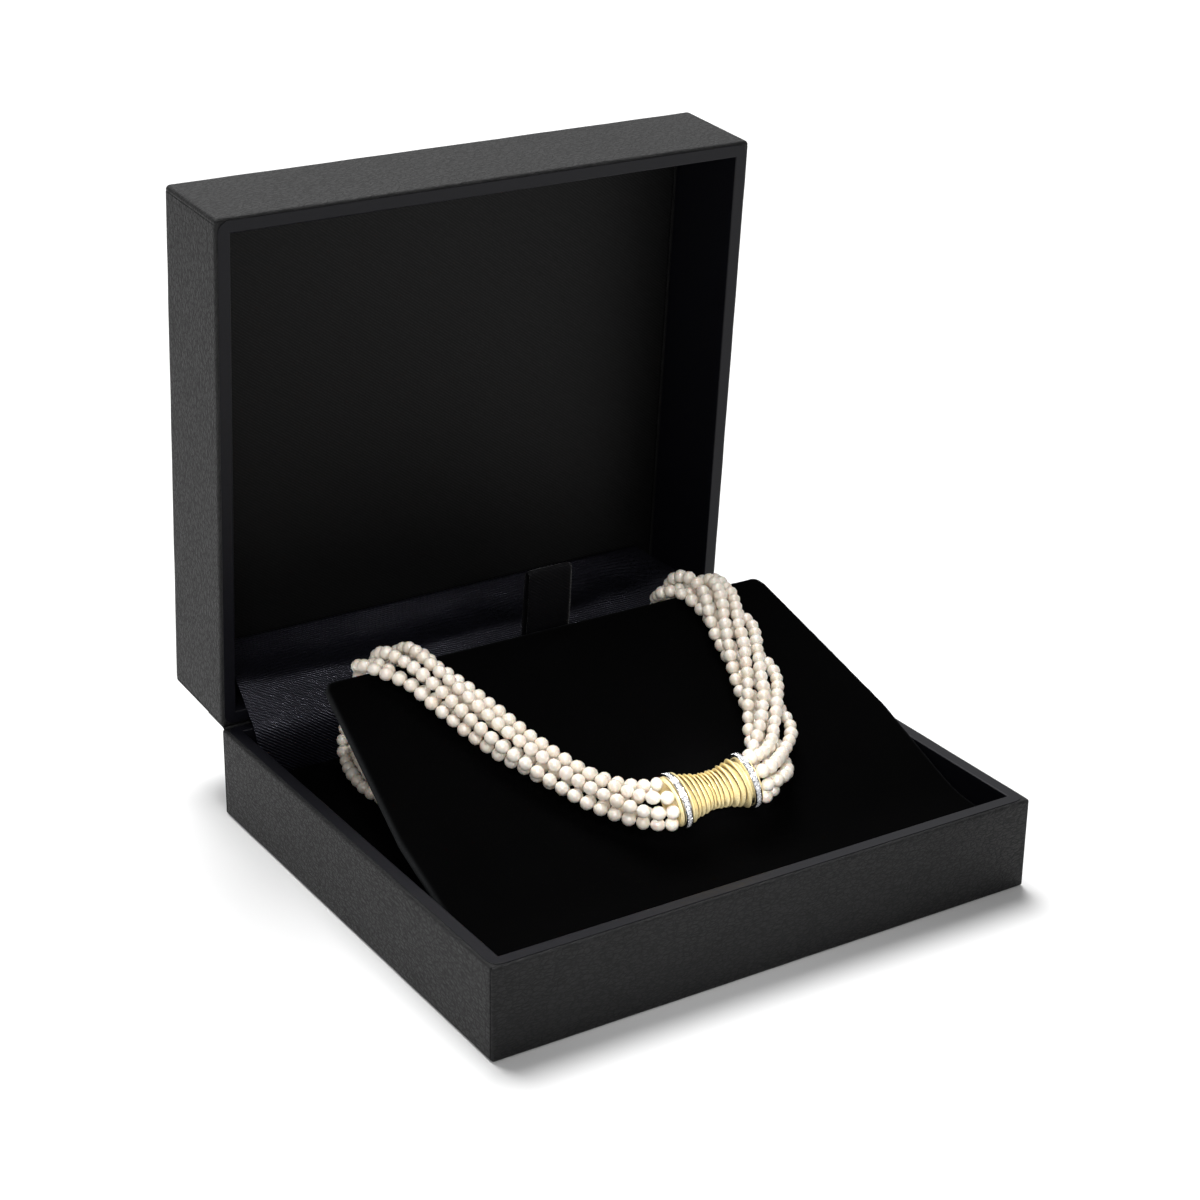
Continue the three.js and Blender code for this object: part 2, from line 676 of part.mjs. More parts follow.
const necklace = new THREE.Group();
necklace.add(
  piece('clasp_barrel', claspBarrel(), gold()),
  piece('pave_ring_left', paveRing(-1), whiteGold()),
  piece('pave_ring_right', paveRing(1), whiteGold()),
);
layThreads().forEach((points, strand) => {
  necklace.add(piece(`pearl_strand_${strand + 1}`, pearlStrand(points), pearl()));
});

const part = new THREE.Group();
part.add(box, necklace);

export default part;
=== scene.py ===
"""A six-strand twisted pearl necklace on the raised velvet flap of its open presentation box.

Metres, +X to the right of the open front, -Y towards the front, +Z up. The box stands on z = 0.
"""

import json

import bpy
import numpy as np
from mathutils import Matrix, Vector


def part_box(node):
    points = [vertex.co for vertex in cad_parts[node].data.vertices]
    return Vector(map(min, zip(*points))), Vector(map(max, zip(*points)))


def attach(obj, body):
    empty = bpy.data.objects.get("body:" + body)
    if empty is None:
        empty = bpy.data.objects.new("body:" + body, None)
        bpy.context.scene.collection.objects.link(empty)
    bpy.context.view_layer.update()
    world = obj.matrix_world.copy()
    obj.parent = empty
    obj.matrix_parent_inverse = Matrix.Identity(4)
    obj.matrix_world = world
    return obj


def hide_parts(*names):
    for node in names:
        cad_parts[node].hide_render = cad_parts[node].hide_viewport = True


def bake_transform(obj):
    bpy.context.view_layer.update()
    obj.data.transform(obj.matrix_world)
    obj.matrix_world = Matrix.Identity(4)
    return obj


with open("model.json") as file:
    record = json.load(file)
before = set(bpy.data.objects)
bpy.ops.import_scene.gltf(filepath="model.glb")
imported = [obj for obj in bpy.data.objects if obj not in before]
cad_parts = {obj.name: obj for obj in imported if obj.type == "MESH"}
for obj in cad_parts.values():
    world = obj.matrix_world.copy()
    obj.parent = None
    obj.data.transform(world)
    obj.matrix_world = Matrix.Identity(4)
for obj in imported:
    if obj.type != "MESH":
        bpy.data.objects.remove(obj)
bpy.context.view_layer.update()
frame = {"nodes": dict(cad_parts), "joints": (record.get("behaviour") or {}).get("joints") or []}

# ---- Camera ----
# A long lens a little above the box, turned to its left front corner.

MM = 0.001
CAMERA_PLACE = (-388.9, -593.3, 391.8)  # in millimetres
CAMERA_AZIMUTH, CAMERA_ELEVATION, CAMERA_ROLL = np.radians((-32.78, 23.66, 0.805))
CAMERA_LENS, SENSOR_WIDTH = 80.83, 36

camera = bpy.data.objects.new("camera", bpy.data.cameras.new("camera"))
bpy.context.scene.collection.objects.link(camera)
bpy.context.scene.camera = camera
camera.data.lens = CAMERA_LENS
camera.data.sensor_width = SENSOR_WIDTH
camera.data.clip_start = 0.05

backward = Vector((
    np.sin(CAMERA_AZIMUTH) * np.cos(CAMERA_ELEVATION),
    -np.cos(CAMERA_AZIMUTH) * np.cos(CAMERA_ELEVATION),
    np.sin(CAMERA_ELEVATION),
))
level = Vector((0, 0, 1)).cross(backward).normalized()
upward = backward.cross(level)
turned_right = level * np.cos(CAMERA_ROLL) + upward * np.sin(CAMERA_ROLL)
turned_up = upward * np.cos(CAMERA_ROLL) - level * np.sin(CAMERA_ROLL)
camera.matrix_world = Matrix.Translation(Vector(CAMERA_PLACE) * MM) @ Matrix(
    (turned_right, turned_up, backward)
).transposed().to_4x4()

# ---- Tray ----
# The lower half of the box: greyboard walls and floor, wrapped in fine-grained charcoal leatherette
# that turns over the rim and down inside. The wrap ends in a butt seam beside each upright corner.


class Socket:
    """One output of a shader node. Sums and products of sockets and numbers add Math nodes."""

    def __init__(self, finish, output):
        self.finish, self.output = finish, output

    def math(self, operation, a, b):
        return self.finish.node("ShaderNodeMath", {0: a, 1: b}, operation=operation)

    def __add__(self, other):
        return self.math("ADD", self, other)

    def __sub__(self, other):
        return self.math("SUBTRACT", self, other)

    def __mul__(self, other):
        return self.math("MULTIPLY", self, other)

    def __pow__(self, other):
        return self.math("POWER", self, other)

    def __rsub__(self, other):
        return self.math("SUBTRACT", other, self)

    __radd__, __rmul__ = __add__, __mul__


class Finish:
    """A material with one Principled shader. Constants are set on the shader's own sockets."""

    def __init__(self, name, **constants):
        self.material = bpy.data.materials.new(name)
        self.material.use_nodes = True
        self.tree = self.material.node_tree
        self.shader = self.tree.nodes["Principled BSDF"]
        for key, value in constants.items():
            self.put(self.shader.inputs[key.replace("_", " ")], value)

    def put(self, socket, value):
        if isinstance(value, Socket):
            self.tree.links.new(value.output, socket)
        elif socket.type == "RGBA":
            socket.default_value = (*value, 1)
        else:
            socket.default_value = value

    def node(self, kind, sockets=None, output=0, **settings):
        """Any node: its type, its sockets' values or links, and its settings, set first."""
        node = self.tree.nodes.new(kind)
        for key, value in settings.items():
            setattr(node, key, value)
        for key, value in (sockets or {}).items():
            self.put(node.inputs[key], value)
        return Socket(self, node.outputs[output])

    def mix(self, factor, a, b):
        """The colour a where factor is 0 and b where it is 1."""
        settings = {"data_type": "RGBA", "clamp_factor": True}
        return self.node("ShaderNodeMix", {0: factor, 6: a, 7: b}, 2, **settings)

    def noise(self, place, scale, detail=2.0, roughness=0.5):
        sockets = {"Vector": place, "Scale": scale, "Detail": detail, "Roughness": roughness}
        return self.node("ShaderNodeTexNoise", sockets)

    def stretched(self, place, scales):
        return self.node("ShaderNodeMapping", {"Vector": place, "Scale": scales})

    def here(self):
        return self.node("ShaderNodeTexCoord", output="Object")

    def wrap(self):
        """The piece's own UV map, in metres along and across its covering."""
        return self.node("ShaderNodeUVMap", uv_map="wrap")

    def attribute(self, name):
        return self.node("ShaderNodeAttribute", output="Fac", attribute_name=name)

    def feed(self, name, value):
        self.put(self.shader.inputs[name], value)

    def colour(self, factor, a, b):
        """Feeds Base Color the colour a where factor is 0 and b where it is 1."""
        self.feed("Base Color", self.mix(factor, a, b))

    def bump(self, height, distance, strength=1.0):
        sockets = {"Height": height, "Distance": distance, "Strength": strength}
        self.feed("Normal", self.node("ShaderNodeBump", sockets))


def made_object(name, points, faces, finish, flat=False):
    """An object at the origin with these points and faces, smooth unless it is faceted."""
    mesh = bpy.data.meshes.new(name)
    mesh.from_pydata(np.asarray(points).reshape(-1, 3).tolist(), [], faces)
    mesh.polygons.foreach_set("use_smooth", np.full(len(mesh.polygons), not flat))
    mesh.materials.append(finish.material)
    mesh.update()
    made = bpy.data.objects.new(name, mesh)
    bpy.context.scene.collection.objects.link(made)
    return made


def stacked(*parts):
    """Points, or UV places, from arrays of their coordinates, which are broadcast together."""
    return np.stack(np.broadcast_arrays(*parts), -1)


def surface(name, grid, finish, around=False, along=False, caps=False, wrap=None):
    """A mesh of a grid of points, rows x columns x 3, with four-sided faces between neighbours.

    around joins the last column to the first, along the last row to the first, and caps closes the
    first and last rows with one face each. The faces are turned outwards by the sign of the volume,
    the sum of each face's corner triple products. wrap is a grid of UV places with one more column,
    and a cap takes its X and Y as its UV places.
    """
    rows, columns = grid.shape[:2]
    row = np.arange(rows if along else rows - 1)[:, None]
    column = np.arange(columns if around else columns - 1)[None, :]
    below, beside = (row + 1) % rows, (column + 1) % columns
    quads = np.stack([
        row * columns + column,
        row * columns + beside,
        below * columns + beside,
        below * columns + column,
    ], -1).reshape(-1, 4)
    points = grid.reshape(-1, 3)
    a, b, c, d = (points[quads[:, i]] for i in range(4))
    inside_out = np.einsum("ij,ij->i", a, np.cross(b, c) + np.cross(c, d)).sum() < 0
    faces = quads.tolist()
    if caps:
        faces.append(list(range(columns))[::-1])
        faces.append(list(range((rows - 1) * columns, rows * columns)))
    if inside_out:
        faces = [face[::-1] for face in faces]
    made = made_object(name, points, faces, finish)
    if wrap is not None:
        corner = np.stack([
            wrap[row, column],
            wrap[row, column + 1],
            wrap[row + 1, column + 1],
            wrap[row + 1, column],
        ], 2).reshape(-1, 4, 2)
        corner = corner[:, ::-1] if inside_out else corner
        layer = made.data.uv_layers.new(name="wrap")
        loop_points = np.zeros(len(made.data.loops), int)
        made.data.loops.foreach_get("vertex_index", loop_points)
        flat_uv = points[loop_points, :2]
        flat_uv[: corner.size // 2] = corner.reshape(-1, 2)
        layer.data.foreach_set("uv", flat_uv.ravel().astype(np.float32))
    return made


WALL, TRAY_FLOOR = 3.5 * MM, 3 * MM
CORNER, LEAST_CORNER = 0.8 * MM, 0.25 * MM  # an upright corner's radius, and its least inside
CLOSED_UNDER, CLOSED_INSIDE = 2.4 * MM, 12 * MM  # how far in the floor's two closing faces start
SEAM_AT = 0.15 * MM  # from the end of a corner's round to the covering's seam
SEAM_WIDTH = 0.18 * MM  # from the seam's middle to where its groove is a third as deep
SEAM_ZONE = 0.6 * MM  # how much of a side's end has extra points, for the seam's shape


def run_along(points):
    """Distance along a line of points, from the first of them to each."""
    steps = np.linalg.norm(np.diff(points, axis=0), axis=1)
    return np.cumsum(np.pad(steps, (1, 0)))


def round_rectangle(half_x, half_y, radius, per_corner=6, per_side=40):
    """Rings of points round a rectangle with rounded corners, one ring for each given half size.

    A point is sign * (half - radius) + normal * radius. On a corner the sign is fixed and the
    normal sweeps a quarter turn, and on a side the normal is fixed and the sign runs from corner
    to corner. Sides have extra points near their ends, where the covering's seam lies. The answer
    is the X and Y of the points and of their outward normals.
    """
    half_x, half_y, radius = (
        np.atleast_1d(v).astype(float)[:, None] for v in (half_x, half_y, radius)
    )
    near = SEAM_ZONE * np.linspace(0.05, 1.0, 10) / (2 * half_x.max())
    share = np.concatenate([near, np.linspace(0.02, 0.98, per_side), 1 - near[::-1]])
    sign_x, sign_y, normal_x, normal_y = [], [], [], []
    for quarter, (c, s) in enumerate(((1, 1), (-1, 1), (-1, -1), (1, -1))):
        turn = np.linspace(0, 1, per_corner) * np.pi / 2 + quarter * np.pi / 2
        sign_x += [np.full(per_corner, c), c + (-s - c) * share]
        sign_y += [np.full(per_corner, s), s + (c - s) * share]
        normal_x += [np.cos(turn), np.full(len(share), np.cos(turn[-1]))]
        normal_y += [np.sin(turn), np.full(len(share), np.sin(turn[-1]))]
    sign_x, sign_y, normal_x, normal_y = (
        np.concatenate(v)[None] for v in (sign_x, sign_y, normal_x, normal_y)
    )
    x = sign_x * (half_x - radius) + normal_x * radius
    y = sign_y * (half_y - radius) + normal_y * radius
    return x, y, np.broadcast_to(normal_x, x.shape), np.broadcast_to(normal_y, x.shape)


def profile(corners, radii, steps=5, support=0.35 * MM):
    """An outline of (inset, height) corners with each corner rounded off to its radius.

    A corner is replaced by a quadratic arc between the two points one radius away along its sides,
    with one more point just outside each, which keeps the flats flat when shaded.
    """
    corners = np.array(corners, float)
    t = np.linspace(0, 1, steps)[:, None]
    rows = [corners[:1]]
    for before, here, after, radius in zip(corners, corners[1:], corners[2:], radii):
        inward = (before - here) / np.linalg.norm(before - here)
        onward = (after - here) / np.linalg.norm(after - here)
        start, end = here + inward * radius, here + onward * radius
        rows += [
            start[None] + inward * support,
            (1 - t) ** 2 * start + 2 * t * (1 - t) * here + t**2 * end,
            end[None] + onward * support,
        ]
    rows.append(corners[-1:])
    return np.concatenate(rows)


def box_outline(face, rim, inside, radii):
    """The outline of an open box: from its closed face round the edge, over the rim and down
    inside. Its ends are closed later by one face each, under the floor and on it."""
    walls = [(0, face), (0, rim), (WALL, rim), (WALL, inside)]
    return profile([(CLOSED_UNDER, face), *walls, (CLOSED_INSIDE, inside)], radii)


def wrapped_shell(name, half_x, half_y, outline, finish, corner=CORNER, seam=0.0, ripple=0.0):
    """An open box: the outline of (inset, height) rows carried round a rounded rectangle.

    corner is the outer radius in plan, which shrinks by the inset. seam is the depth of the groove
    where the covering butts beside each corner of the side walls, a bell curve across. ripple is
    how far the covering stands off the board, as a sum of three sines round the box. The UV map is
    the distance round the box and the distance up the outline.
    """
    inset, height = outline[:, 0], outline[:, 1]
    radius = np.maximum(corner - inset, LEAST_CORNER)
    x, y, nx, ny = round_rectangle(half_x - inset, half_y - inset, radius)
    step = np.hypot(np.diff(x, axis=1, append=x[:, :1]), np.diff(y, axis=1, append=y[:, :1]))
    round_length = np.cumsum(np.pad(step, ((0, 0), (1, 0))), 1)
    wrap = stacked(round_length, run_along(outline)[:, None])
    from_corner = half_y - corner - SEAM_AT - np.abs(y)
    outside = (inset < 0.5 * MM)[:, None]
    on_side_wall = np.abs(nx) > 0.99
    groove = seam * np.exp(-((from_corner / SEAM_WIDTH) ** 2)) * on_side_wall * outside
    along = round_length[:, :-1] / MM
    upward_drift = height[:, None] / MM / 2
    wave = np.sin(along / 9.1) + np.sin(along / 5.3 + 2) + np.sin(along / 3.1 + upward_drift)
    push = ripple * wave / 3 - groove
    grid = stacked(x + nx * push, y + ny * push, height[:, None])
    return surface(name, grid, finish, around=True, caps=True, wrap=wrap)


def leatherette_finish(name, gloss=0.28):
    """Charcoal leatherette: shallow wrinkles a millimetre or two long, drawn out round the box, and
    a net of finer creases. The creases are darker, and the ridges between them a little shinier.
    gloss is how strongly it mirrors: 0.5 is usual for a plastic."""
    finish = Finish(name, Specular_IOR_Level=gloss)
    place = finish.stretched(finish.wrap(), (0.45, 1.0, 1.0))
    drift = finish.node("ShaderNodeTexNoise", {"Vector": place, "Scale": 500, "Detail": 2.0}, 1)
    furthest = (1.6 * MM,) * 3
    moved = {0: drift, 1: furthest, 2: place}
    bent = finish.node("ShaderNodeVectorMath", moved, operation="MULTIPLY_ADD")
    net = {"Vector": bent, "Scale": 1000}
    from_crease = finish.node("ShaderNodeTexVoronoi", net, feature="DISTANCE_TO_EDGE")
    sharpened = {0: from_crease, 1: 5.0}
    ridge = finish.node("ShaderNodeMath", sharpened, operation="MULTIPLY", use_clamp=True)
    wrinkles = finish.noise(place, 800, 6, 0.7)
    mottle = finish.noise(finish.here(), 60, 4, 0.65)
    shade = ridge * 0.35 + wrinkles * 0.45 + mottle * 0.4 - 0.1
    finish.colour(shade, (0.0003, 0.0003, 0.0004), (0.013, 0.0131, 0.0138))
    finish.feed("Roughness", 0.62 - 0.16 * ridge + 0.12 * wrinkles)
    finish.bump(ridge * 0.3 + wrinkles * 1.2, 0.3 * MM, 0.9)
    return finish


leatherette = leatherette_finish("leatherette_upright")

tray_low, tray_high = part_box("case_tray")
tray_half_x, tray_half_y = tray_high.x, tray_high.y
tray_radii = [0.8 * MM, 0.9 * MM, 0.7 * MM, 0.4 * MM]
tray = wrapped_shell(
    "wrapped_tray",
    tray_half_x,
    tray_half_y,
    box_outline(tray_low.z, tray_high.z, TRAY_FLOOR, tray_radii),
    leatherette,
    seam=0.5 * MM,
    ripple=0.05 * MM,
)
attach(tray, "root")
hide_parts("case_tray")

# ---- Tray liner ----
# A thin board collar inside the tray's walls. Its smooth blue-black paper laps out over the rim to
# the bevel, where the leatherette starts.

LINER = 1.2 * MM
LAP, PAPER = WALL - 0.9 * MM, 0.2 * MM  # how far the paper laps out, and how thick it stands


def collar(name, half_x, half_y, foot, rim, finish):
    """A thin wall from its foot to the rim, with a lap outwards over the rim: a closed outline of
    (inset, height) carried round the rounded rectangle. The rim may be above or below the foot."""
    paper_face = rim + np.sign(rim - foot) * PAPER
    outline = profile(
        [
            (LINER / 2, foot),
            (0, foot),
            (0, rim),
            (-LAP, rim),  # out under the paper, on the tray's or the lid's own rim
            (-LAP, paper_face),
            (LINER, paper_face),
            (LINER, foot),
            (LINER / 2, foot),
        ],
        [0.3 * MM, 0.1 * MM, 0.05 * MM, 0.08 * MM, 0.4 * MM, 0.3 * MM],
        steps=4,
        support=0.03 * MM,
    )[:-1]
    inset, height = outline[:, 0], outline[:, 1:]
    radius = np.maximum(CORNER - inset, 0.2 * MM)
    x, y = round_rectangle(half_x - inset, half_y - inset, radius)[:2]
    return surface(name, stacked(x, y, height), finish, around=True, along=True)


lining_paper = Finish("lining_paper", Specular_IOR_Level=0.2)
fibres = lining_paper.noise(lining_paper.stretched(lining_paper.here(), (1, 1, 3)), 700, 4, 0.6)
lining_paper.colour(fibres, (0.002, 0.002, 0.003), (0.007, 0.007, 0.011))
lining_paper.feed("Roughness", 0.34 + 0.16 * fibres)
lining_paper.bump(fibres, 0.03 * MM, 0.5)

liner_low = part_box("tray_liner")[0]
tray_collar = collar(
    "tray_collar", tray_half_x - WALL, tray_half_y - WALL, liner_low.z, tray_high.z, lining_paper
)
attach(tray_collar, "root")
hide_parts("tray_liner")

# ---- Platform ----
# A foam block on the tray's floor, covered in short black velvet, that the flap and the back of the
# necklace lie on.

# The pile drinks light, with a dull sheen where it stands edge on. It is painted paler where a
# piece's edge attribute rises from 0 to 1: a painted sheen where light catches its edges.
velvet = Finish(
    "velvet",
    Roughness=0.95,
    Specular_IOR_Level=0.02,
    Sheen_Weight=0.025,
    Sheen_Roughness=0.2,
    Sheen_Tint=(0.75, 0.78, 0.85),
)
pile = velvet.noise(velvet.here(), 2600, 3, 0.7)
nap_shade = velvet.noise(velvet.here(), 55, 3, 0.55)
pile_shade = pile * 0.5 + nap_shade * 0.5
velvet_black = velvet.mix(pile_shade, (0.0001, 0.0001, 0.00012), (0.0011, 0.0011, 0.0012))
# Painted sheen: the edge attribute paints the pile paler, where light catches an edge.
velvet.colour(velvet.attribute("painted_edge_sheen") * pile * 1.6, velvet_black, (0.02, 0.021, 0.022))
velvet.bump(pile + nap_shade * 0.6, 0.15 * MM, 0.5)

pad_low, pad_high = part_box("platform_pad")
pad_half_x = pad_high.x
pad_half_y = (pad_high.y - pad_low.y) / 2
pad_middle_y = (pad_high.y + pad_low.y) / 2
pad_outline = profile(
    [(3 * MM, pad_low.z), (0, pad_low.z), (0, pad_high.z), (30 * MM, pad_high.z)],
    [0.5 * MM, 1.6 * MM],
    steps=7,
)
platform = wrapped_shell(
    "platform_block", pad_half_x, pad_half_y, pad_outline, velvet, corner=2 * MM
)
platform.data.transform(Matrix.Translation((0, pad_middle_y, 0)))
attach(platform, "root")
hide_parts("platform_pad")

# ---- Display flap ----
# A board wrapped in the same velvet. It lies flat along the front, then rises at one slope to a
# rear edge with rounded corners, and the necklace lies over it.

FLAP_THICKNESS, FLAP_ROUNDING = 3 * MM, 1.5 * MM
FLAP_SLOPE = 0.39
FLAP_TOP_AT_REAR = 57.75 * MM  # height of the sloping face at FLAP_REAR_Y
FLAP_REAR_Y = 37 * MM
FLAP_FRONT_TOP = 21.3 * MM
FLAP_HALF_WIDTH, FLAP_REAR_HALF_WIDTH = 84 * MM, 77 * MM
FLAP_TAPER_START = -20 * MM
FLAP_CORNER = 3.2 * MM
EDGE_ZONE = 2 * MM  # how much of each edge has its points close together
NAP_WAVE, PILE_EDGE = 0.12 * MM, 0.1 * MM  # how far the face waves, and how rough its edge is
flap_low, flap_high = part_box("display_flap")


def flap_top(y):
    """Height of the flap's upper face: the flat front and the slope, joined by a soft bend."""
    slope = FLAP_TOP_AT_REAR + FLAP_SLOPE * (y - FLAP_REAR_Y)
    softness = 1.2 * MM
    return FLAP_FRONT_TOP + softness * np.logaddexp(0, (slope - FLAP_FRONT_TOP) / softness)


def flap_half_width(y):
    """Half width in plan: even, then tapering, then drawn in round the rear corner."""
    share = np.clip((y - FLAP_TAPER_START) / (flap_high.y - FLAP_TAPER_START), 0, 1)
    straight = FLAP_HALF_WIDTH + (FLAP_REAR_HALF_WIDTH - FLAP_HALF_WIDTH) * share
    into_corner = np.clip(y - (flap_high.y - FLAP_CORNER), 0, FLAP_CORNER)
    return straight - FLAP_CORNER + np.sqrt(FLAP_CORNER**2 - into_corner**2)


def edge_spaced(low, high, count, edge=EDGE_ZONE, per_edge=9):
    """Places from low to high: close together within edge of each end, and even between."""
    near = edge * np.linspace(0, 1, per_edge) ** 1.6
    middle = np.linspace(low + edge, high - edge, count)[1:-1]
    return np.concatenate([low + near, middle, high - near[::-1]])


def both_faces(upper, lower):
    """One grid that goes across an upper face and back across its lower, with shared side edges."""
    return np.concatenate([upper, lower[:, -2:0:-1]], 1)


def painted(made, name, values):
    """Gives a piece an attribute for its material to read, with a value for each point."""
    layer = made.data.attributes.new(name, "FLOAT", "POINT")
    layer.data.foreach_set("value", values.ravel().astype(np.float32))


flap_y = edge_spaced(flap_low.y, flap_high.y, 70)[:, None]
flap_across = edge_spaced(-1, 1, 90, edge=EDGE_ZONE / FLAP_HALF_WIDTH)[None]
flap_x = flap_half_width(flap_y) * flap_across
in_corner = np.maximum(np.abs(flap_x) - (FLAP_REAR_HALF_WIDTH - FLAP_CORNER), 0)
past_corner = np.maximum(flap_y - (flap_high.y - FLAP_CORNER), 0)
to_side = np.where(
    (past_corner > 0) & (in_corner > 0),
    FLAP_CORNER - np.hypot(in_corner, past_corner),
    flap_half_width(flap_y) - np.abs(flap_x),
)
to_edge = np.clip(np.minimum(to_side, np.minimum(flap_high.y - flap_y, flap_y - flap_low.y)), 0, 1)
half_thickness = FLAP_THICKNESS / 2 / np.cos(np.arctan(FLAP_SLOPE))
bulge = half_thickness * np.sqrt(1 - (1 - np.minimum(to_edge / FLAP_ROUNDING, 1)) ** 2)
nap = np.sin(flap_x / (23 * MM)) * np.sin(flap_y / (17 * MM) + 1) * (to_edge > FLAP_ROUNDING)
tufts = np.random.default_rng(5).uniform(-1, 1, to_edge.shape) * (to_edge < 0.3 * FLAP_ROUNDING)
flap_middle = flap_top(flap_y) - half_thickness + PILE_EDGE * tufts
flap_upper = stacked(flap_x, flap_y, flap_middle + bulge + NAP_WAVE * nap)
flap_lower = stacked(flap_x, flap_y, flap_middle - bulge)
flap = surface("velvet_flap", both_faces(flap_upper, flap_lower), velvet, around=True, caps=True)
# Painted sheen: paler within a millimetre or so of the flap's edges, where light catches the
# velvet.
flap_painted_sheen = np.exp(-((to_edge / (0.7 * MM)) ** 2))
painted(flap, "painted_edge_sheen", both_faces(flap_painted_sheen, flap_painted_sheen))
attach(flap, "root")
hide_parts("display_flap")

# ---- Flap strut ----
# A plain black board on edge under the flap, glued to the platform. It is hidden from above, so the
# frame's own solid shows.

black_board = Finish("black_board", Roughness=0.7, Specular_IOR_Level=0.3)
board_fibres = black_board.noise(black_board.stretched(black_board.here(), (1, 4, 4)), 400, 4, 0.6)
black_board.colour(board_fibres, (0.004, 0.004, 0.004), (0.012, 0.012, 0.012))
black_board.bump(board_fibres, 0.05 * MM, 0.5)
strut_slots = frame["nodes"]["flap_strut"].data.materials
strut_slots.clear()
strut_slots.append(black_board.material)

# ---- Pull tab ----
# A loop of satin ribbon folded over at the top and sewn under the flap's rear edge, to lift it by.

RIBBON = 0.5 * MM
TAB_LEAN = 2.5 / 27.5  # how far the loop leans forwards for its rise
TAB_REACH, TAB_SWELL = 1.2 * MM, 0.25  # half way between the plies, and its growth half way up
TAB_CUP = 0.25 * MM  # how far the ribbon's middle stands behind its edges
TAB_FOOT_Y, TAB_CROWN = 41 * MM, 1.7 * MM  # the crown is the fold's height above its plies
TAB_COLUMNS = 17


def satin_finish(name, dark, light, roughness, relief, **constants):
    """Near-black satin: a fine diagonal twill whose floats stand up by the relief, in millimetres.
    They are painted in the light colour, the weave's pattern with a painted sheen on them, are
    smoother than the ground between them, and catch the light."""
    finish = Finish(name, **constants)
    place = finish.wrap()
    turned = finish.node("ShaderNodeMapping", {"Vector": place, "Rotation": (0, 0, 0.95)})
    ribs = {"Vector": turned, "Scale": 380, "Distortion": 1.2, "Detail": 2.0, "Detail Scale": 2.0}
    twill = finish.node("ShaderNodeTexWave", ribs, 1, wave_type="BANDS", bands_direction="X")
    slubs = finish.noise(finish.stretched(place, (1, 0.4, 1)), 1300, 3, 0.7)
    painted_float_sheen = (twill * slubs * 1.9) ** 2
    # Painted sheen: the floats are painted lighter than the ground, besides their bump and gloss.
    finish.colour(painted_float_sheen, dark, light)
    finish.feed("Roughness", roughness + relief * 1.5 - relief * 2.4 * painted_float_sheen)
    finish.bump(twill * 0.8 + slubs * 1.4, relief * MM, 1.0)
    return finish


def sheet_solid(name, middle, thickness, finish):
    """A sheet from its middle surface, rows x columns x 3: both faces stand half a thickness off
    along the surface's own normal, the cross product of its two directions, and join at the hems.
    The thickness falls off at a hem as the root of 1 - place ** 20, so that hems are pressed thin.
    The UV map is the length along the first column and row, which the lower face shares."""
    down = np.gradient(middle, axis=0)
    over = np.gradient(middle, axis=1)
    normal = np.cross(over, down)
    normal /= np.linalg.norm(normal, axis=2, keepdims=True)
    rows, columns = (np.linspace(-1, 1, n) ** 20 for n in middle.shape[:2])
    half = thickness / 2 * np.sqrt(np.maximum((1 - rows[:, None]) * (1 - columns), 0.01))[..., None]
    upper, lower = middle + normal * half, middle - normal * half
    grid = np.concatenate([upper, lower[:, ::-1]], 1)
    width = run_along(middle[0])
    across = np.concatenate([width, width[::-1], width[:1]])
    wrap = stacked(across[None], run_along(middle[:, 0])[:, None])
    return surface(name, grid, finish, around=True, caps=True, wrap=wrap)


tab_satin = satin_finish(
    "tab_satin",
    dark=(0.0003, 0.0003, 0.0005),
    light=(0.002, 0.002, 0.003),
    roughness=0.4,
    relief=0.08,
    Specular_IOR_Level=0.06,
    Sheen_Weight=0.2,
    Sheen_Roughness=0.3,
)
tab_low, tab_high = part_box("pull_tab")
tab_fold_z = tab_high.z - TAB_CROWN
rise = np.linspace(0, 1, 24)
fold = np.linspace(0, np.pi, 13)
ply_out = TAB_REACH * (1 + TAB_SWELL * np.sin(np.pi * rise))
ply_z = tab_low.z + (tab_fold_z - tab_low.z) * rise
tab_out = np.concatenate([ply_out, TAB_REACH * np.cos(fold[1:-1]), -ply_out[::-1]])
fold_z = tab_fold_z + (TAB_REACH + 0.25 * MM) * np.sin(fold[1:-1])  # a little higher than round
tab_z = np.concatenate([ply_z, fold_z, ply_z[::-1]])
tab_x = np.linspace(tab_low.x, tab_high.x, TAB_COLUMNS)[None]
tab_cup = TAB_CUP * (1 - np.linspace(-1, 1, TAB_COLUMNS)[None] ** 2)
tab_y = TAB_FOOT_Y + tab_out[:, None] - TAB_LEAN * (tab_z[:, None] - tab_low.z) + tab_cup
tab_middle = stacked(tab_x, tab_y, tab_z[:, None])
tab = sheet_solid("ribbon_tab", tab_middle, RIBBON, tab_satin)
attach(tab, "root")
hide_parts("pull_tab")

# ---- Lid ----
# The upper half of the box, made as the tray is, and standing open on its hinge. It is worked out
# closed, with the hinge line as its X axis, and then turned open.

OPEN_ANGLE = np.radians(85.9)
LID_BOARD = 2 * MM
hinge_place = Vector(frame["joints"][0]["pos_m"])
opened = Matrix.Translation(hinge_place) @ Matrix.Rotation(-OPEN_ANGLE, 4, "X")


def points_of(node):
    """The corners of a CAD node's mesh."""
    vertices = frame["nodes"][node].data.vertices
    places = np.zeros(len(vertices) * 3)
    vertices.foreach_get("co", places)
    return places.reshape(-1, 3)


def closed_box(node):
    """Lowest and highest corner of one of the lid's nodes turned back shut, from the hinge line."""
    back = np.array(opened.inverted())
    shut = points_of(node) @ back[:3, :3].T + back[:3, 3]
    return Vector(shut.min(0)), Vector(shut.max(0))


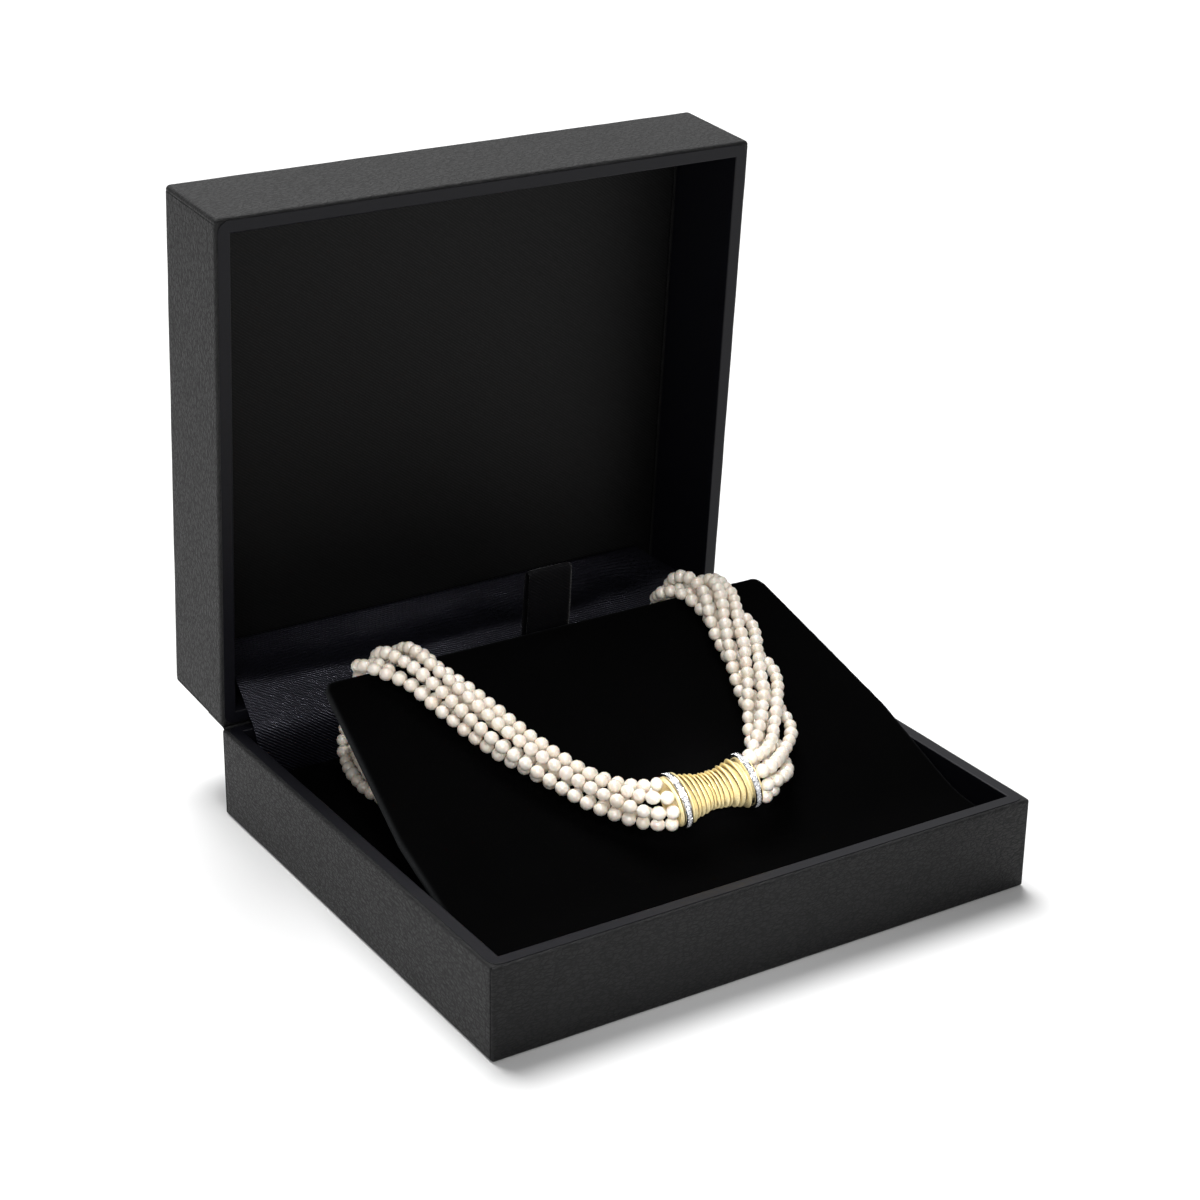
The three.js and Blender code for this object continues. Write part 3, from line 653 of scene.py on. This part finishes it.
lid_low, lid_high = closed_box("lid_shell")
lid_panel_low, lid_panel_high = closed_box("lid_panel")
lid_half_y = (lid_high.y - lid_low.y) / 2
lid_middle = Matrix.Translation((0, (lid_high.y + lid_low.y) / 2, 0))
lid_radii = [1.8 * MM, 1.1 * MM, 0.7 * MM, 0.4 * MM]
lid = wrapped_shell(
    "wrapped_lid",
    lid_high.x,
    lid_half_y,
    box_outline(lid_high.z, lid_low.z, lid_high.z - LID_BOARD, lid_radii),
    leatherette_finish("leatherette_drawn", gloss=0.33),
    corner=1.5 * MM,
    seam=0.15 * MM,
    ripple=0.06 * MM,
)
lid.data.transform(opened @ lid_middle)
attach(lid, "lid")
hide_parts("lid_shell")

lid_collar_high = closed_box("lid_liner")[1]
lid_collar = collar(
    "lid_collar", lid_high.x - WALL, lid_half_y - WALL, lid_collar_high.z, lid_low.z, lining_paper
)
lid_collar.data.transform(opened @ lid_middle)
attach(lid_collar, "lid")
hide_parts("lid_liner")

# ---- Hinge strip ----
# A strip of the same leatherette glued outside, up the tray's back and on along the lid's. No light
# shows through the joint.

STRIP_THICKNESS, STRIP_REACH, STRIP_FOLD = 0.4 * MM, 11 * MM, 0.3 * MM
STRIP_INSET = 0.7 * MM  # from the tray's sides to the strip's ends
strip_run = STRIP_REACH * np.linspace(-1, 1, 61)[:, None] ** 3
strip_down = STRIP_FOLD * np.logaddexp(0, -strip_run / STRIP_FOLD)
strip_along_lid = STRIP_FOLD * np.logaddexp(0, strip_run / STRIP_FOLD)
strip_y = hinge_place.y + STRIP_THICKNESS * 0.4 + strip_along_lid * np.sin(OPEN_ANGLE)
strip_z = hinge_place.z - STRIP_THICKNESS * 0.4 - strip_down + strip_along_lid * np.cos(OPEN_ANGLE)
strip_x = (tray_half_x - STRIP_INSET) * np.linspace(-1, 1, 80)[None]
strip_middle = stacked(strip_x, strip_y, strip_z)
strip_leatherette = leatherette_finish("leatherette_strip")
strip = sheet_solid("hinge_strip", strip_middle, STRIP_THICKNESS, strip_leatherette)
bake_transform(strip)

# ---- Lid panel ----
# A thin board covered in black satin over a skin of wadding, and pressed into the lid inside its
# collar. Its face is bare.

PANEL_ROUNDING, PANEL_DIP = 1.0 * MM, 0.15 * MM  # of its edge, and of its face's middle

panel_satin = satin_finish(
    "panel_satin",
    dark=(0.0005, 0.0005, 0.0006),
    light=(0.0045, 0.0045, 0.0046),
    roughness=0.55,
    relief=0.05,
    Specular_IOR_Level=0.2,
)
panel_half_y = (lid_panel_high.y - lid_panel_low.y) / 2
panel_u = edge_spaced(-1, 1, 60, edge=0.03)[None]
panel_v = edge_spaced(-1, 1, 60, edge=0.03)[:, None]
panel_edge = np.minimum(1 - np.abs(panel_u), 1 - np.abs(panel_v)) * panel_half_y
panel_thick = lid_panel_high.z - lid_panel_low.z
panel_round = np.sqrt(1 - (1 - np.minimum(panel_edge / PANEL_ROUNDING, 1)) ** 2)
panel_rise = panel_thick * panel_round - PANEL_DIP * (1 - panel_u**2) * (1 - panel_v**2)
panel_x, panel_y = panel_u * lid_panel_high.x, panel_v * panel_half_y
panel_face = stacked(panel_x, panel_y, lid_panel_high.z - panel_rise)
panel_grid = both_faces(panel_face, stacked(panel_x, panel_y, lid_panel_high.z))
panel_wrap = np.concatenate([panel_grid[..., :2], panel_grid[:, :1, :2]], 1)
panel = surface("satin_panel", panel_grid, panel_satin, around=True, caps=True, wrap=panel_wrap)
panel.data.transform(opened @ lid_middle)
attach(panel, "lid")
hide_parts("lid_panel")

# ---- Satin gusset ----
# A strip of blue-black satin glued along the foot of the lid's panel. It runs forward over the
# hinge, sags a little, and tucks down behind the platform.

GUSSET_THICKNESS, GUSSET_SAG = 0.16 * MM, 3 * MM
GUSSET_HALF_WIDTHS = (77 * MM, 81.8 * MM)  # at the lid's panel, and in the tray
GUSSET_SIDE = np.array([  # Y and Z of its course, seen from the side
    (109.0, 43.0),  # glued along the foot of the lid's panel
    (103.0, 42.0),
    (96.0, 41.0),
    (85.3, 38.6),  # over the hinge
    (79.0, 32.4),
    (75.8, 29.4),
    (73.6, 25.0),  # down behind the platform
    (71.5, 14.0),
    (70.0, 4.8),
]) * MM


def smooth_through(points, count):
    """count evenly spaced points of the curve through these: the natural cubic in chord length."""
    chord = run_along(points)
    n = len(points)
    step = np.diff(chord)
    system = np.eye(n)
    right = np.zeros_like(points)
    inner = np.arange(1, n - 1)
    system[inner, inner - 1] = step[:-1]
    system[inner, inner] = 2 * (step[:-1] + step[1:])
    system[inner, inner + 1] = step[1:]
    slope = np.diff(points, axis=0) / step[:, None]
    right[1:-1] = 6 * np.diff(slope, axis=0)
    bend = np.linalg.solve(system, right)
    at = np.linspace(0, chord[-1], count)
    k = np.clip(np.searchsorted(chord, at, side="right") - 1, 0, n - 2)
    h, a, b = step[k][:, None], (chord[k + 1] - at)[:, None], (at - chord[k])[:, None]
    return (
        (bend[k] * a**3 + bend[k + 1] * b**3) / (6 * h)
        + (points[k] / h - bend[k] * h / 6) * a
        + (points[k + 1] / h - bend[k + 1] * h / 6) * b
    )


gusset_satin = satin_finish(
    "gusset_satin",
    dark=(0.0002, 0.0002, 0.0004),
    light=(0.003, 0.003, 0.007),
    roughness=0.2,
    relief=0.15,
    Specular_IOR_Level=0.52,
    Specular_Tint=(0.82, 0.82, 1.0),
)
gusset_side = smooth_through(GUSSET_SIDE, 70)
gusset_share = np.linspace(0, 1, len(gusset_side))[:, None]
gusset_across = edge_spaced(-1, 1, 130, edge=0.004, per_edge=6)[None]
narrow, wide = GUSSET_HALF_WIDTHS
gusset_width = narrow + (wide - narrow) * np.clip(gusset_share * 2.7, 0, 1)
gusset_shelf = np.sin(np.pi * np.clip(2 * gusset_share, 0, 1))  # the half beside the panel
gusset_sag = -GUSSET_SAG * gusset_shelf * (1 - gusset_across**4)
gusset_free = np.sin(np.pi * gusset_share) ** 0.8  # 0 at its held ends and 1 half way
gusset_ripples = 0.35 * MM * np.sin(9 * gusset_across + 5 * gusset_share)
gusset_ripples += 0.2 * MM * np.sin(23 * gusset_across - 8 * gusset_share + 1)
gusset_fold = gusset_sag + gusset_free * gusset_ripples
gusset_z = gusset_side[:, 1:] + gusset_fold * np.clip(1.4 - gusset_share * 1.4, 0, 1)
gusset_middle = stacked(gusset_width * gusset_across, gusset_side[:, :1], gusset_z)
gusset = sheet_solid("satin_fold", gusset_middle, GUSSET_THICKNESS, gusset_satin)
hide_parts("satin_gusset")
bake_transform(gusset)

# ---- Clasp barrel ----
# A waisted barrel of satin-polished yellow gold, cut into thin slanting ribs, with a dished plate
# at each end where the threads go in. Its ribs, plates and rings all lean one way. Its slots are
# painted dark brown, as painted shade.

CLASP_SLANT = 0.25
CLASP_X, CLASP_Y, CLASP_LIFT = 4.7 * MM, -41.2 * MM, 8.8 * MM  # the lift is square to the flap
RIB_COUNT, RIB_REACH, RIB_ROWS = 13, 10.35 * MM, 16  # the reach is from the waist to the last rib
RIB_WAIST, RIB_FLARE, RIB_FLARE_POWER = 5.0 * MM, 7.5 * MM, 1.8
RIB_DEPTH, RIB_TILT = 1.8 * MM, 3.6 * MM  # slots' depth, and the ribs' fall from edge to edge
RIB_LEAN = 0.45  # how far a rib's side is shifted along the barrel for its height
BARREL_END = np.array([  # places along the barrel and radii, outwards past the last rib
    (10.36, 6.0),  # the neck that the stone-set ring sits on
    (10.6, 6.0),
    (13.0, 6.0),
    (13.25, 6.0),
    (13.3, 6.1),  # the end plate's inner face
    (13.3, 7.35),
    (13.38, 7.5),  # its rounded edge
    (13.52, 7.45),
    (13.7, 7.2),
    (13.85, 6.9),
    (14.0, 6.65),
    (14.06, 6.5),
    (14.0, 6.35),
    (13.65, 6.25),
    (13.6, 6.1),  # its dished outer face, almost to the middle
    (13.6, 0.02),
]) * MM
flap_angle = np.arctan(FLAP_SLOPE)
flap_normal = np.array((0, -np.sin(flap_angle), np.cos(flap_angle)))
flap_under_clasp = FLAP_TOP_AT_REAR + FLAP_SLOPE * (CLASP_Y - FLAP_REAR_Y)
clasp_centre = np.array((CLASP_X, CLASP_Y, flap_under_clasp + CLASP_LIFT / np.cos(flap_angle)))


def leaning(along, radius, angle):
    """Places on the clasp: a point at that radius and angle round the X axis, shifted along the
    axis by minus the slant times its height above the axis, square to the flap."""
    offset = stacked(0.0, radius * np.sin(angle), radius * np.cos(angle))
    slid = along - CLASP_SLANT * (offset @ flap_normal)
    return clasp_centre + offset + stacked(slid, 0.0, 0.0)


gold = Finish("satin_gold", Metallic=0.3)
# Painted shade: the attribute "slot" darkens the gold to brown down in the slots between the ribs.
painted_slot_shade = gold.attribute("slot")
gold_scratches = gold.noise(gold.stretched(gold.here(), (1, 6, 6)), 900, 3, 0.6)
gold.colour(painted_slot_shade, (1.0, 0.84, 0.46), (0.06, 0.025, 0.004))
gold.feed("Roughness", 0.2 + 0.12 * gold_scratches + 0.2 * painted_slot_shade)
gold.bump(gold_scratches, 0.02 * MM, 0.35)

rib_angle = np.linspace(0, 2 * np.pi, 144, endpoint=False)[None]
rib_step = np.arange(RIB_COUNT * RIB_ROWS + 1)[:, None] / RIB_ROWS
rib_phase = np.random.default_rng(4).uniform(0, 2 * np.pi, RIB_COUNT + 1)
whole = np.floor(rib_step).astype(int)
part = rib_step - whole  # 0 and 1 at the slots beside a rib


def slot_strays(phase):
    """How far a slot strays along the barrel, in ribs: one wave round it and three small ones."""
    return 0.14 * np.sin(rib_angle + phase) + 0.06 * np.sin(3 * rib_angle + 2 * phase)


slot_here = slot_strays(rib_phase[whole])
slot_next = slot_strays(rib_phase[np.minimum(whole + 1, RIB_COUNT)])
inner_share = np.clip(np.minimum(rib_step, RIB_COUNT - rib_step), 0, 1)
rib_place = rib_step + (slot_here * (1 - part) + slot_next * part) * inner_share
rib_share = 2 * rib_place / RIB_COUNT - 1
rib_along = RIB_REACH * (0.8 * rib_share + 0.2 * rib_share**3)
rib_sharpness = 6.5 + 3 * np.sin(2 * rib_angle + rib_phase[whole])  # flatter and rounder in turn
crest = 1 - np.abs(2 * part - 1) ** rib_sharpness
upness = np.cos(rib_angle) * flap_normal[2] + np.sin(rib_angle) * flap_normal[1]  # away from flap
rib_body = RIB_WAIST + (RIB_FLARE - RIB_WAIST) * np.abs(rib_along / RIB_REACH) ** RIB_FLARE_POWER
rib_radius = rib_body + RIB_DEPTH * (crest - 1) - RIB_TILT * (part - 0.5) * upness * crest
rib_along = rib_along - RIB_LEAN * (rib_radius - rib_body) * inner_share
end_along, end_radius = (BARREL_END[:, i : i + 1] + 0 * rib_angle for i in range(2))
barrel_along = np.concatenate([-end_along[::-1], rib_along, end_along])
barrel_radius = np.concatenate([end_radius[::-1], rib_radius, end_radius])
barrel_grid = leaning(barrel_along, barrel_radius, rib_angle)
barrel = surface("ribbed_barrel", barrel_grid, gold, around=True, caps=True)
# The slots' painted shade: 1 deep in a slot, 0 on a crest and on the end plates.
painted_slot_shade_amount = np.zeros_like(barrel_along)
painted_slot_shade_amount[len(BARREL_END):-len(BARREL_END)] = np.clip(1.7 - 2.1 * crest, 0, 1)
painted(barrel, "slot", painted_slot_shade_amount)
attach(barrel, "root")
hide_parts("clasp_barrel")

# ---- Stone-set rings ----
# A white gold band round each end of the barrel, with one row of small brilliants, each held by
# pairs of raised beads of metal.

RING_MIDDLE, RING_HALF_WIDTH = 11.85 * MM, 1.15 * MM
STONES_ROUND, STONE_RADIUS = 36, 0.7 * MM
BEAD_RADIUS, BEAD_OFFSET = 0.3 * MM, 0.55 * MM  # the offset is from the row of stones
CHANNEL_RADIUS = 8.05 * MM
BAND_SIDE = np.array([  # inset from the band's side, and radius
    (0, 6.3),  # inside, on the barrel's neck
    (0, 7.9),
    (0.12, 8.15),  # the raised rim
    (0.3, 8.2),
    (0.42, 8.05),  # the channel that the stones sit in
]) * MM

white_gold = Finish("white_gold", Metallic=1.0)
white_scratches = white_gold.noise(white_gold.here(), 1500, 3, 0.6)
white_gold.colour(white_scratches, (0.72, 0.71, 0.70), (0.88, 0.87, 0.86))
white_gold.feed("Roughness", 0.1 + 0.12 * white_scratches)

brilliant = Finish("brilliant", Roughness=0.03, IOR=2.42, Metallic=0.55)
brilliant_cloud = brilliant.noise(brilliant.here(), 700, 1)
brilliant.colour(brilliant_cloud, (0.86, 0.88, 0.93), (1.0, 1.0, 1.0))


def repeated(faces, count, per):
    """The faces of count copies of a shape with that many points per copy."""
    first = np.arange(count)[:, None] * per
    return [moved for face in faces for moved in (first + np.array(face)).tolist()]


def copies(name, points, faces, places, turns, sizes, finish, flat=False):
    """One mesh of many like shapes: each point is turned, sized and moved for each copy."""
    moved = np.einsum("nij,kj->nki", turns, points) * sizes[:, None, None] + places[:, None]
    return made_object(name, moved, repeated(faces, len(places), len(points)), finish, flat)


def ring_of(turn, radius, height):
    """Points at these angles round the Z axis, at that radius and height."""
    return stacked(radius * np.cos(turn), radius * np.sin(turn), height)


def brilliant_cut():
    """A round brilliant of radius 1, facing +Z: an eight-sided table, eight points between it and
    the sixteen-sided girdle, and a cone down to the culet."""
    eight, sixteen = np.arange(8) * np.pi / 4, np.arange(16) * np.pi / 8
    table, girdle = ring_of(eight, 0.55, 0.36), ring_of(sixteen, 1.0, 0.0)
    middle = ring_of(eight + np.pi / 8, 0.8, 0.2)
    points = np.concatenate([table, middle, girdle, [(0, 0, -0.8)]])
    faces = [list(range(8))]
    for k in range(8):
        even, odd, following = 16 + 2 * k, 17 + 2 * k, 16 + (2 * k + 2) % 16
        faces += [
            [k, 8 + k, (k + 1) % 8],
            [k, 8 + (k - 1) % 8, even, 8 + k],
            [8 + k, even, odd],
            [8 + k, odd, following],
            [even, 32, odd],
            [odd, 32, following],
        ]
    return points, faces


def from_pole(down, sides):
    """A sphere of radius 1 from its pole on +Z down: the pole, then a ring of points at each of
    these angles. Triangles join pole to first ring, and four-sided faces join ring to ring."""
    turn = np.arange(sides)[None] * 2 * np.pi / sides
    rings = ring_of(turn, np.sin(down)[:, None], np.cos(down)[:, None])
    faces = [[0, 1 + k, 1 + (k + 1) % sides] for k in range(sides)]
    for r in range(len(down) - 1):
        for k in range(sides):
            a, b = 1 + r * sides + k, 1 + r * sides + (k + 1) % sides
            faces.append([a, a + sides, b + sides, b])
    return np.concatenate([[(0, 0, 1)], rings.reshape(-1, 3)]), faces


def dome(rings=3, sides=6):
    """Half a sphere with its rings at even angles, closed underneath by one face."""
    points, faces = from_pole(np.linspace(0, np.pi / 2, rings + 1)[1:], sides)
    last = range(len(points) - sides, len(points))
    return points, faces + [list(last)[::-1]]


def outward_turns(angle):
    """Rotations that carry +Z to the direction out of the clasp at that angle and keep +X."""
    out = stacked(0.0, np.sin(angle), np.cos(angle))
    axis = np.broadcast_to((1.0, 0, 0), out.shape)
    return np.stack([axis, np.cross(out, axis), out], -1)


band_rows = np.concatenate([
    BAND_SIDE - (RING_HALF_WIDTH, 0),
    (RING_HALF_WIDTH, 0) + BAND_SIDE[::-1] * (-1, 1),
])
band_angle = np.linspace(0, 2 * np.pi, 96, endpoint=False)[None]
stone_angle = np.arange(STONES_ROUND) * 2 * np.pi / STONES_ROUND
bead_angle = np.tile(stone_angle + np.pi / STONES_ROUND, 2)

for side, side_name in ((-1, "left"), (1, "right")):
    band_grid = leaning(side * RING_MIDDLE + band_rows[:, :1], band_rows[:, 1:], band_angle)
    band = surface(f"ring_band_{side_name}", band_grid, white_gold, around=True, along=True)
    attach(band, "root")
    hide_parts(f"pave_ring_{side_name}")

    wobble = np.random.default_rng(11 + side).uniform(-1, 1, STONES_ROUND)
    stones = copies(
        f"ring_stones_{side_name}",
        *brilliant_cut(),
        leaning(side * RING_MIDDLE, CHANNEL_RADIUS, stone_angle),
        outward_turns(stone_angle + 0.1 * wobble),
        STONE_RADIUS * (1 + 0.04 * wobble),
        brilliant,
        flat=True,
    )
    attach(stones, "root")

    bead_along = side * RING_MIDDLE + np.repeat([-BEAD_OFFSET, BEAD_OFFSET], STONES_ROUND)
    beads = copies(
        f"ring_beads_{side_name}",
        *dome(),
        leaning(bead_along, CHANNEL_RADIUS, bead_angle),
        outward_turns(bead_angle),
        np.full(2 * STONES_ROUND, BEAD_RADIUS),
        white_gold,
    )
    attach(beads, "root")

# ---- Pearls ----
# Six strings of small cream-white pearls, none quite round and no two alike, threaded close
# together on silk. The frame's strands narrow to a neck between pearls, and each pearl lies
# between two necks.

PEARL_GIRTH = 2.05 * MM  # half the usual thickness of a pearl
LONGEST_PEARL = 5.6 * MM  # necks of a strand closer than this have a pearl between them
THREAD_RADIUS = 0.28 * MM
NECK_REACH, NECK_CORNERS = 1.5 * MM, 4  # a neck has at least so many corners within this reach
ONE_NECK = 0.5 * MM  # middles closer than this are of one neck


def necks_of(node):
    """The middle of each neck of a strand: a neck's corners are the only ones that have others of
    their own strand within reach, and all of a neck's corners share one mean."""
    corners = np.unique(np.round(points_of(node), 6), axis=0)
    near = np.linalg.norm(corners[:, None] - corners[None], axis=2) < NECK_REACH
    at_neck = near.sum(1) >= NECK_CORNERS
    near = near[at_neck] & at_neck[None]
    means = (near[:, :, None] * corners[None]).sum(1) / near.sum(1, keepdims=True)
    same = np.linalg.norm(means[:, None] - means[None], axis=2) < ONE_NECK
    return means[np.unique(np.argmax(same, 1))]


def ball(rings=5, sides=12):
    """A whole sphere with its rings at even angles from pole to pole."""
    points, faces = from_pole(np.linspace(0, np.pi, rings + 2)[1:-1], sides)
    pole, foot = len(points), len(points) - sides
    faces += [[pole, foot + (k + 1) % sides, foot + k] for k in range(sides)]
    return np.concatenate([points, [(0, 0, -1)]]), faces


nacre = Finish(
    "nacre",
    Specular_IOR_Level=0.9,
    Subsurface_Weight=0.4,
    Subsurface_Scale=0.8 * MM,
    Subsurface_Radius=(1.0, 0.65, 0.45),
    Coat_Weight=1.0,
    Coat_Roughness=0.36,
    Coat_IOR=1.9,
)
clouds = nacre.noise(nacre.here(), 420)
ivory = nacre.mix(nacre.attribute("tone"), (0.86, 0.76, 0.62), (0.90, 0.84, 0.75))
rosy = nacre.mix(nacre.attribute("blush") * 0.5, ivory, (0.86, 0.73, 0.64))
nacre.colour(clouds * 0.15, rosy, (0.87, 0.86, 0.82))
nacre.feed("Roughness", 0.32 + 0.12 * clouds)
nacre.bump(clouds, 0.03 * MM, 0.2)

silk = Finish("silk", Roughness=0.6)
silk.colour(silk.noise(silk.here(), 3000), (0.52, 0.47, 0.40), (0.74, 0.70, 0.63))

draw = np.random.default_rng(27)
pearl_points, pearl_faces = ball()
thread_places, thread_turns, thread_lengths = [], [], []
for strand in range(1, 7):
    necks = necks_of(f"pearl_strand_{strand}")
    necks = necks[np.argsort(necks @ (1.0, 0.61, 0.37))]  # an order that the mesh has no part in
    apart = np.linalg.norm(necks[:, None] - necks[None], axis=2)
    first, second = np.nonzero(np.triu(apart < LONGEST_PEARL, 1))
    centres = (necks[first] + necks[second]) / 2
    along = necks[second] - necks[first]
    gap = np.linalg.norm(along, axis=1, keepdims=True)
    along /= gap
    side = np.cross(along, (0.31, 0.17, 0.94))  # no strand runs this way
    side /= np.linalg.norm(side, axis=1, keepdims=True)
    turns = np.stack([side, np.cross(along, side), along], -1)

    count = len(centres)
    spin = draw.uniform(0, 2 * np.pi, count)
    girth = PEARL_GIRTH * draw.normal(0.99, 0.04, count).clip(0.9, 1.045)
    length = gap[:, 0] / 2 * draw.normal(0.99, 0.01, count).clip(0.96, 1.0)
    lumps = draw.normal(0, 0.012, (count, 3, 3))
    x, y, z = pearl_points.T
    cos, sin = np.cos(spin)[:, None], np.sin(spin)[:, None]
    spun = stacked(x * cos - y * sin, x * sin + y * cos, z)
    swell = 1 + np.einsum("nki,nij,nkj->nk", spun, lumps, spun)[..., None]
    sized = spun * swell * stacked(girth, girth, length)[:, None]
    placed = np.einsum("nij,nkj->nki", turns, sized) + centres[:, None]
    faces = repeated(pearl_faces, count, len(pearl_points))
    pearls = made_object(f"pearls_{strand}", placed, faces, nacre)
    painted(pearls, "tone", np.repeat(draw.beta(2, 2, count), len(pearl_points)))
    painted(pearls, "blush", np.repeat(draw.beta(1.2, 4, count), len(pearl_points)))
    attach(pearls, "root")
    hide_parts(f"pearl_strand_{strand}")
    thread_places.append(centres)
    thread_turns.append(turns)
    thread_lengths.append(gap[:, 0])

prism_turn = np.arange(6) * np.pi / 3
prism_points = np.concatenate([ring_of(prism_turn, THREAD_RADIUS, end) for end in (-0.5, 0.5)])
prism_faces = [[k, (k + 1) % 6, 6 + (k + 1) % 6, 6 + k] for k in range(6)]
prism_faces += [list(range(6))[::-1], list(range(6, 12))]
drawn_out = np.concatenate(thread_turns)
drawn_out[..., 2] *= np.concatenate(thread_lengths)[:, None]
threads = copies(
    "silk_threads",
    prism_points,
    prism_faces,
    np.concatenate(thread_places),
    drawn_out,
    np.ones(len(drawn_out)),
    silk,
)
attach(threads, "root")

# ---- Floor and light ----
# A plain white floor and surround. A broad light from above and behind and a soft panel low behind
# light the whole box, and narrow spots from the front bring out necklace, clasp and gusset.

FLOOR = 15.0  # from its middle to each side
FLOOR_DROP = 0.2 * MM  # keeps it clear of the box's underside

bpy.context.scene.view_settings.view_transform = "Standard"

floor_paint = Finish(
    "floor_paint",
    Base_Color=(0.86, 0.86, 0.86),
    Roughness=0.9,
    Specular_IOR_Level=0.0,
    Emission_Color=(1, 1, 1),
    Emission_Strength=0.06,
)
floor_corners = FLOOR * np.array([(-1, -1, 0), (1, -1, 0), (1, 1, 0), (-1, 1, 0)])
floor = made_object("floor", floor_corners, [[0, 1, 2, 3]], floor_paint)
floor.location.z = -FLOOR_DROP


def lamp(name, kind, place, aim, energy, **settings):
    """A lamp at its place, in metres, turned to its aim."""
    made = bpy.data.objects.new(name, bpy.data.lights.new(name, kind))
    made.data.energy = energy
    for key, value in settings.items():
        setattr(made.data, key, value)
    made.location = place
    made.rotation_euler = (Vector(aim) - made.location).to_track_quat("-Z", "Y").to_euler()
    bpy.context.scene.collection.objects.link(made)


def spot(name, place, aim, energy, size, cone):
    """A spot that size in metres, with a soft-edged cone of that many degrees across."""
    shape = {"shadow_soft_size": size, "spot_size": np.radians(cone), "spot_blend": 0.7}
    lamp(name, "SPOT", place, aim, energy, **shape)


lamp("overhead", "SUN", (0.04, 0.39, 0.92), (0, 0, 0.05), 3.6, angle=np.radians(30))
spot("front_left", (-0.65, -0.85, 0.62), (-0.01, 0, 0.045), 12, size=0.1, cone=11)
lamp("low_behind", "AREA", (0.9, 1.5, 0.75), (0, 0, 0.05), 3.3, size=1.8)
spot("on_pearls", (-0.35, -0.45, 0.95), (-0.02, 0.005, 0.045), 14, size=0.05, cone=12)
spot("pearl_fill", (-0.22, -0.93, 0.52), (-0.01, 0.003, 0.048), 9, size=0.06, cone=9)
spot("on_clasp", (-0.45, -0.75, 0.6), (0.0047, -0.041, 0.036), 100, size=0.012, cone=1.9)
spot("on_gusset", (0.4, -0.26, 0.72), (-0.068, 0.077, 0.03), 5.6, size=0.03, cone=7.5)

world = bpy.data.worlds.new("surround")
bpy.context.scene.world = world
world.use_nodes = True
surround = world.node_tree.nodes["Background"].inputs
surround["Color"].default_value = (1, 1, 1, 1)
surround["Strength"].default_value = 0.26
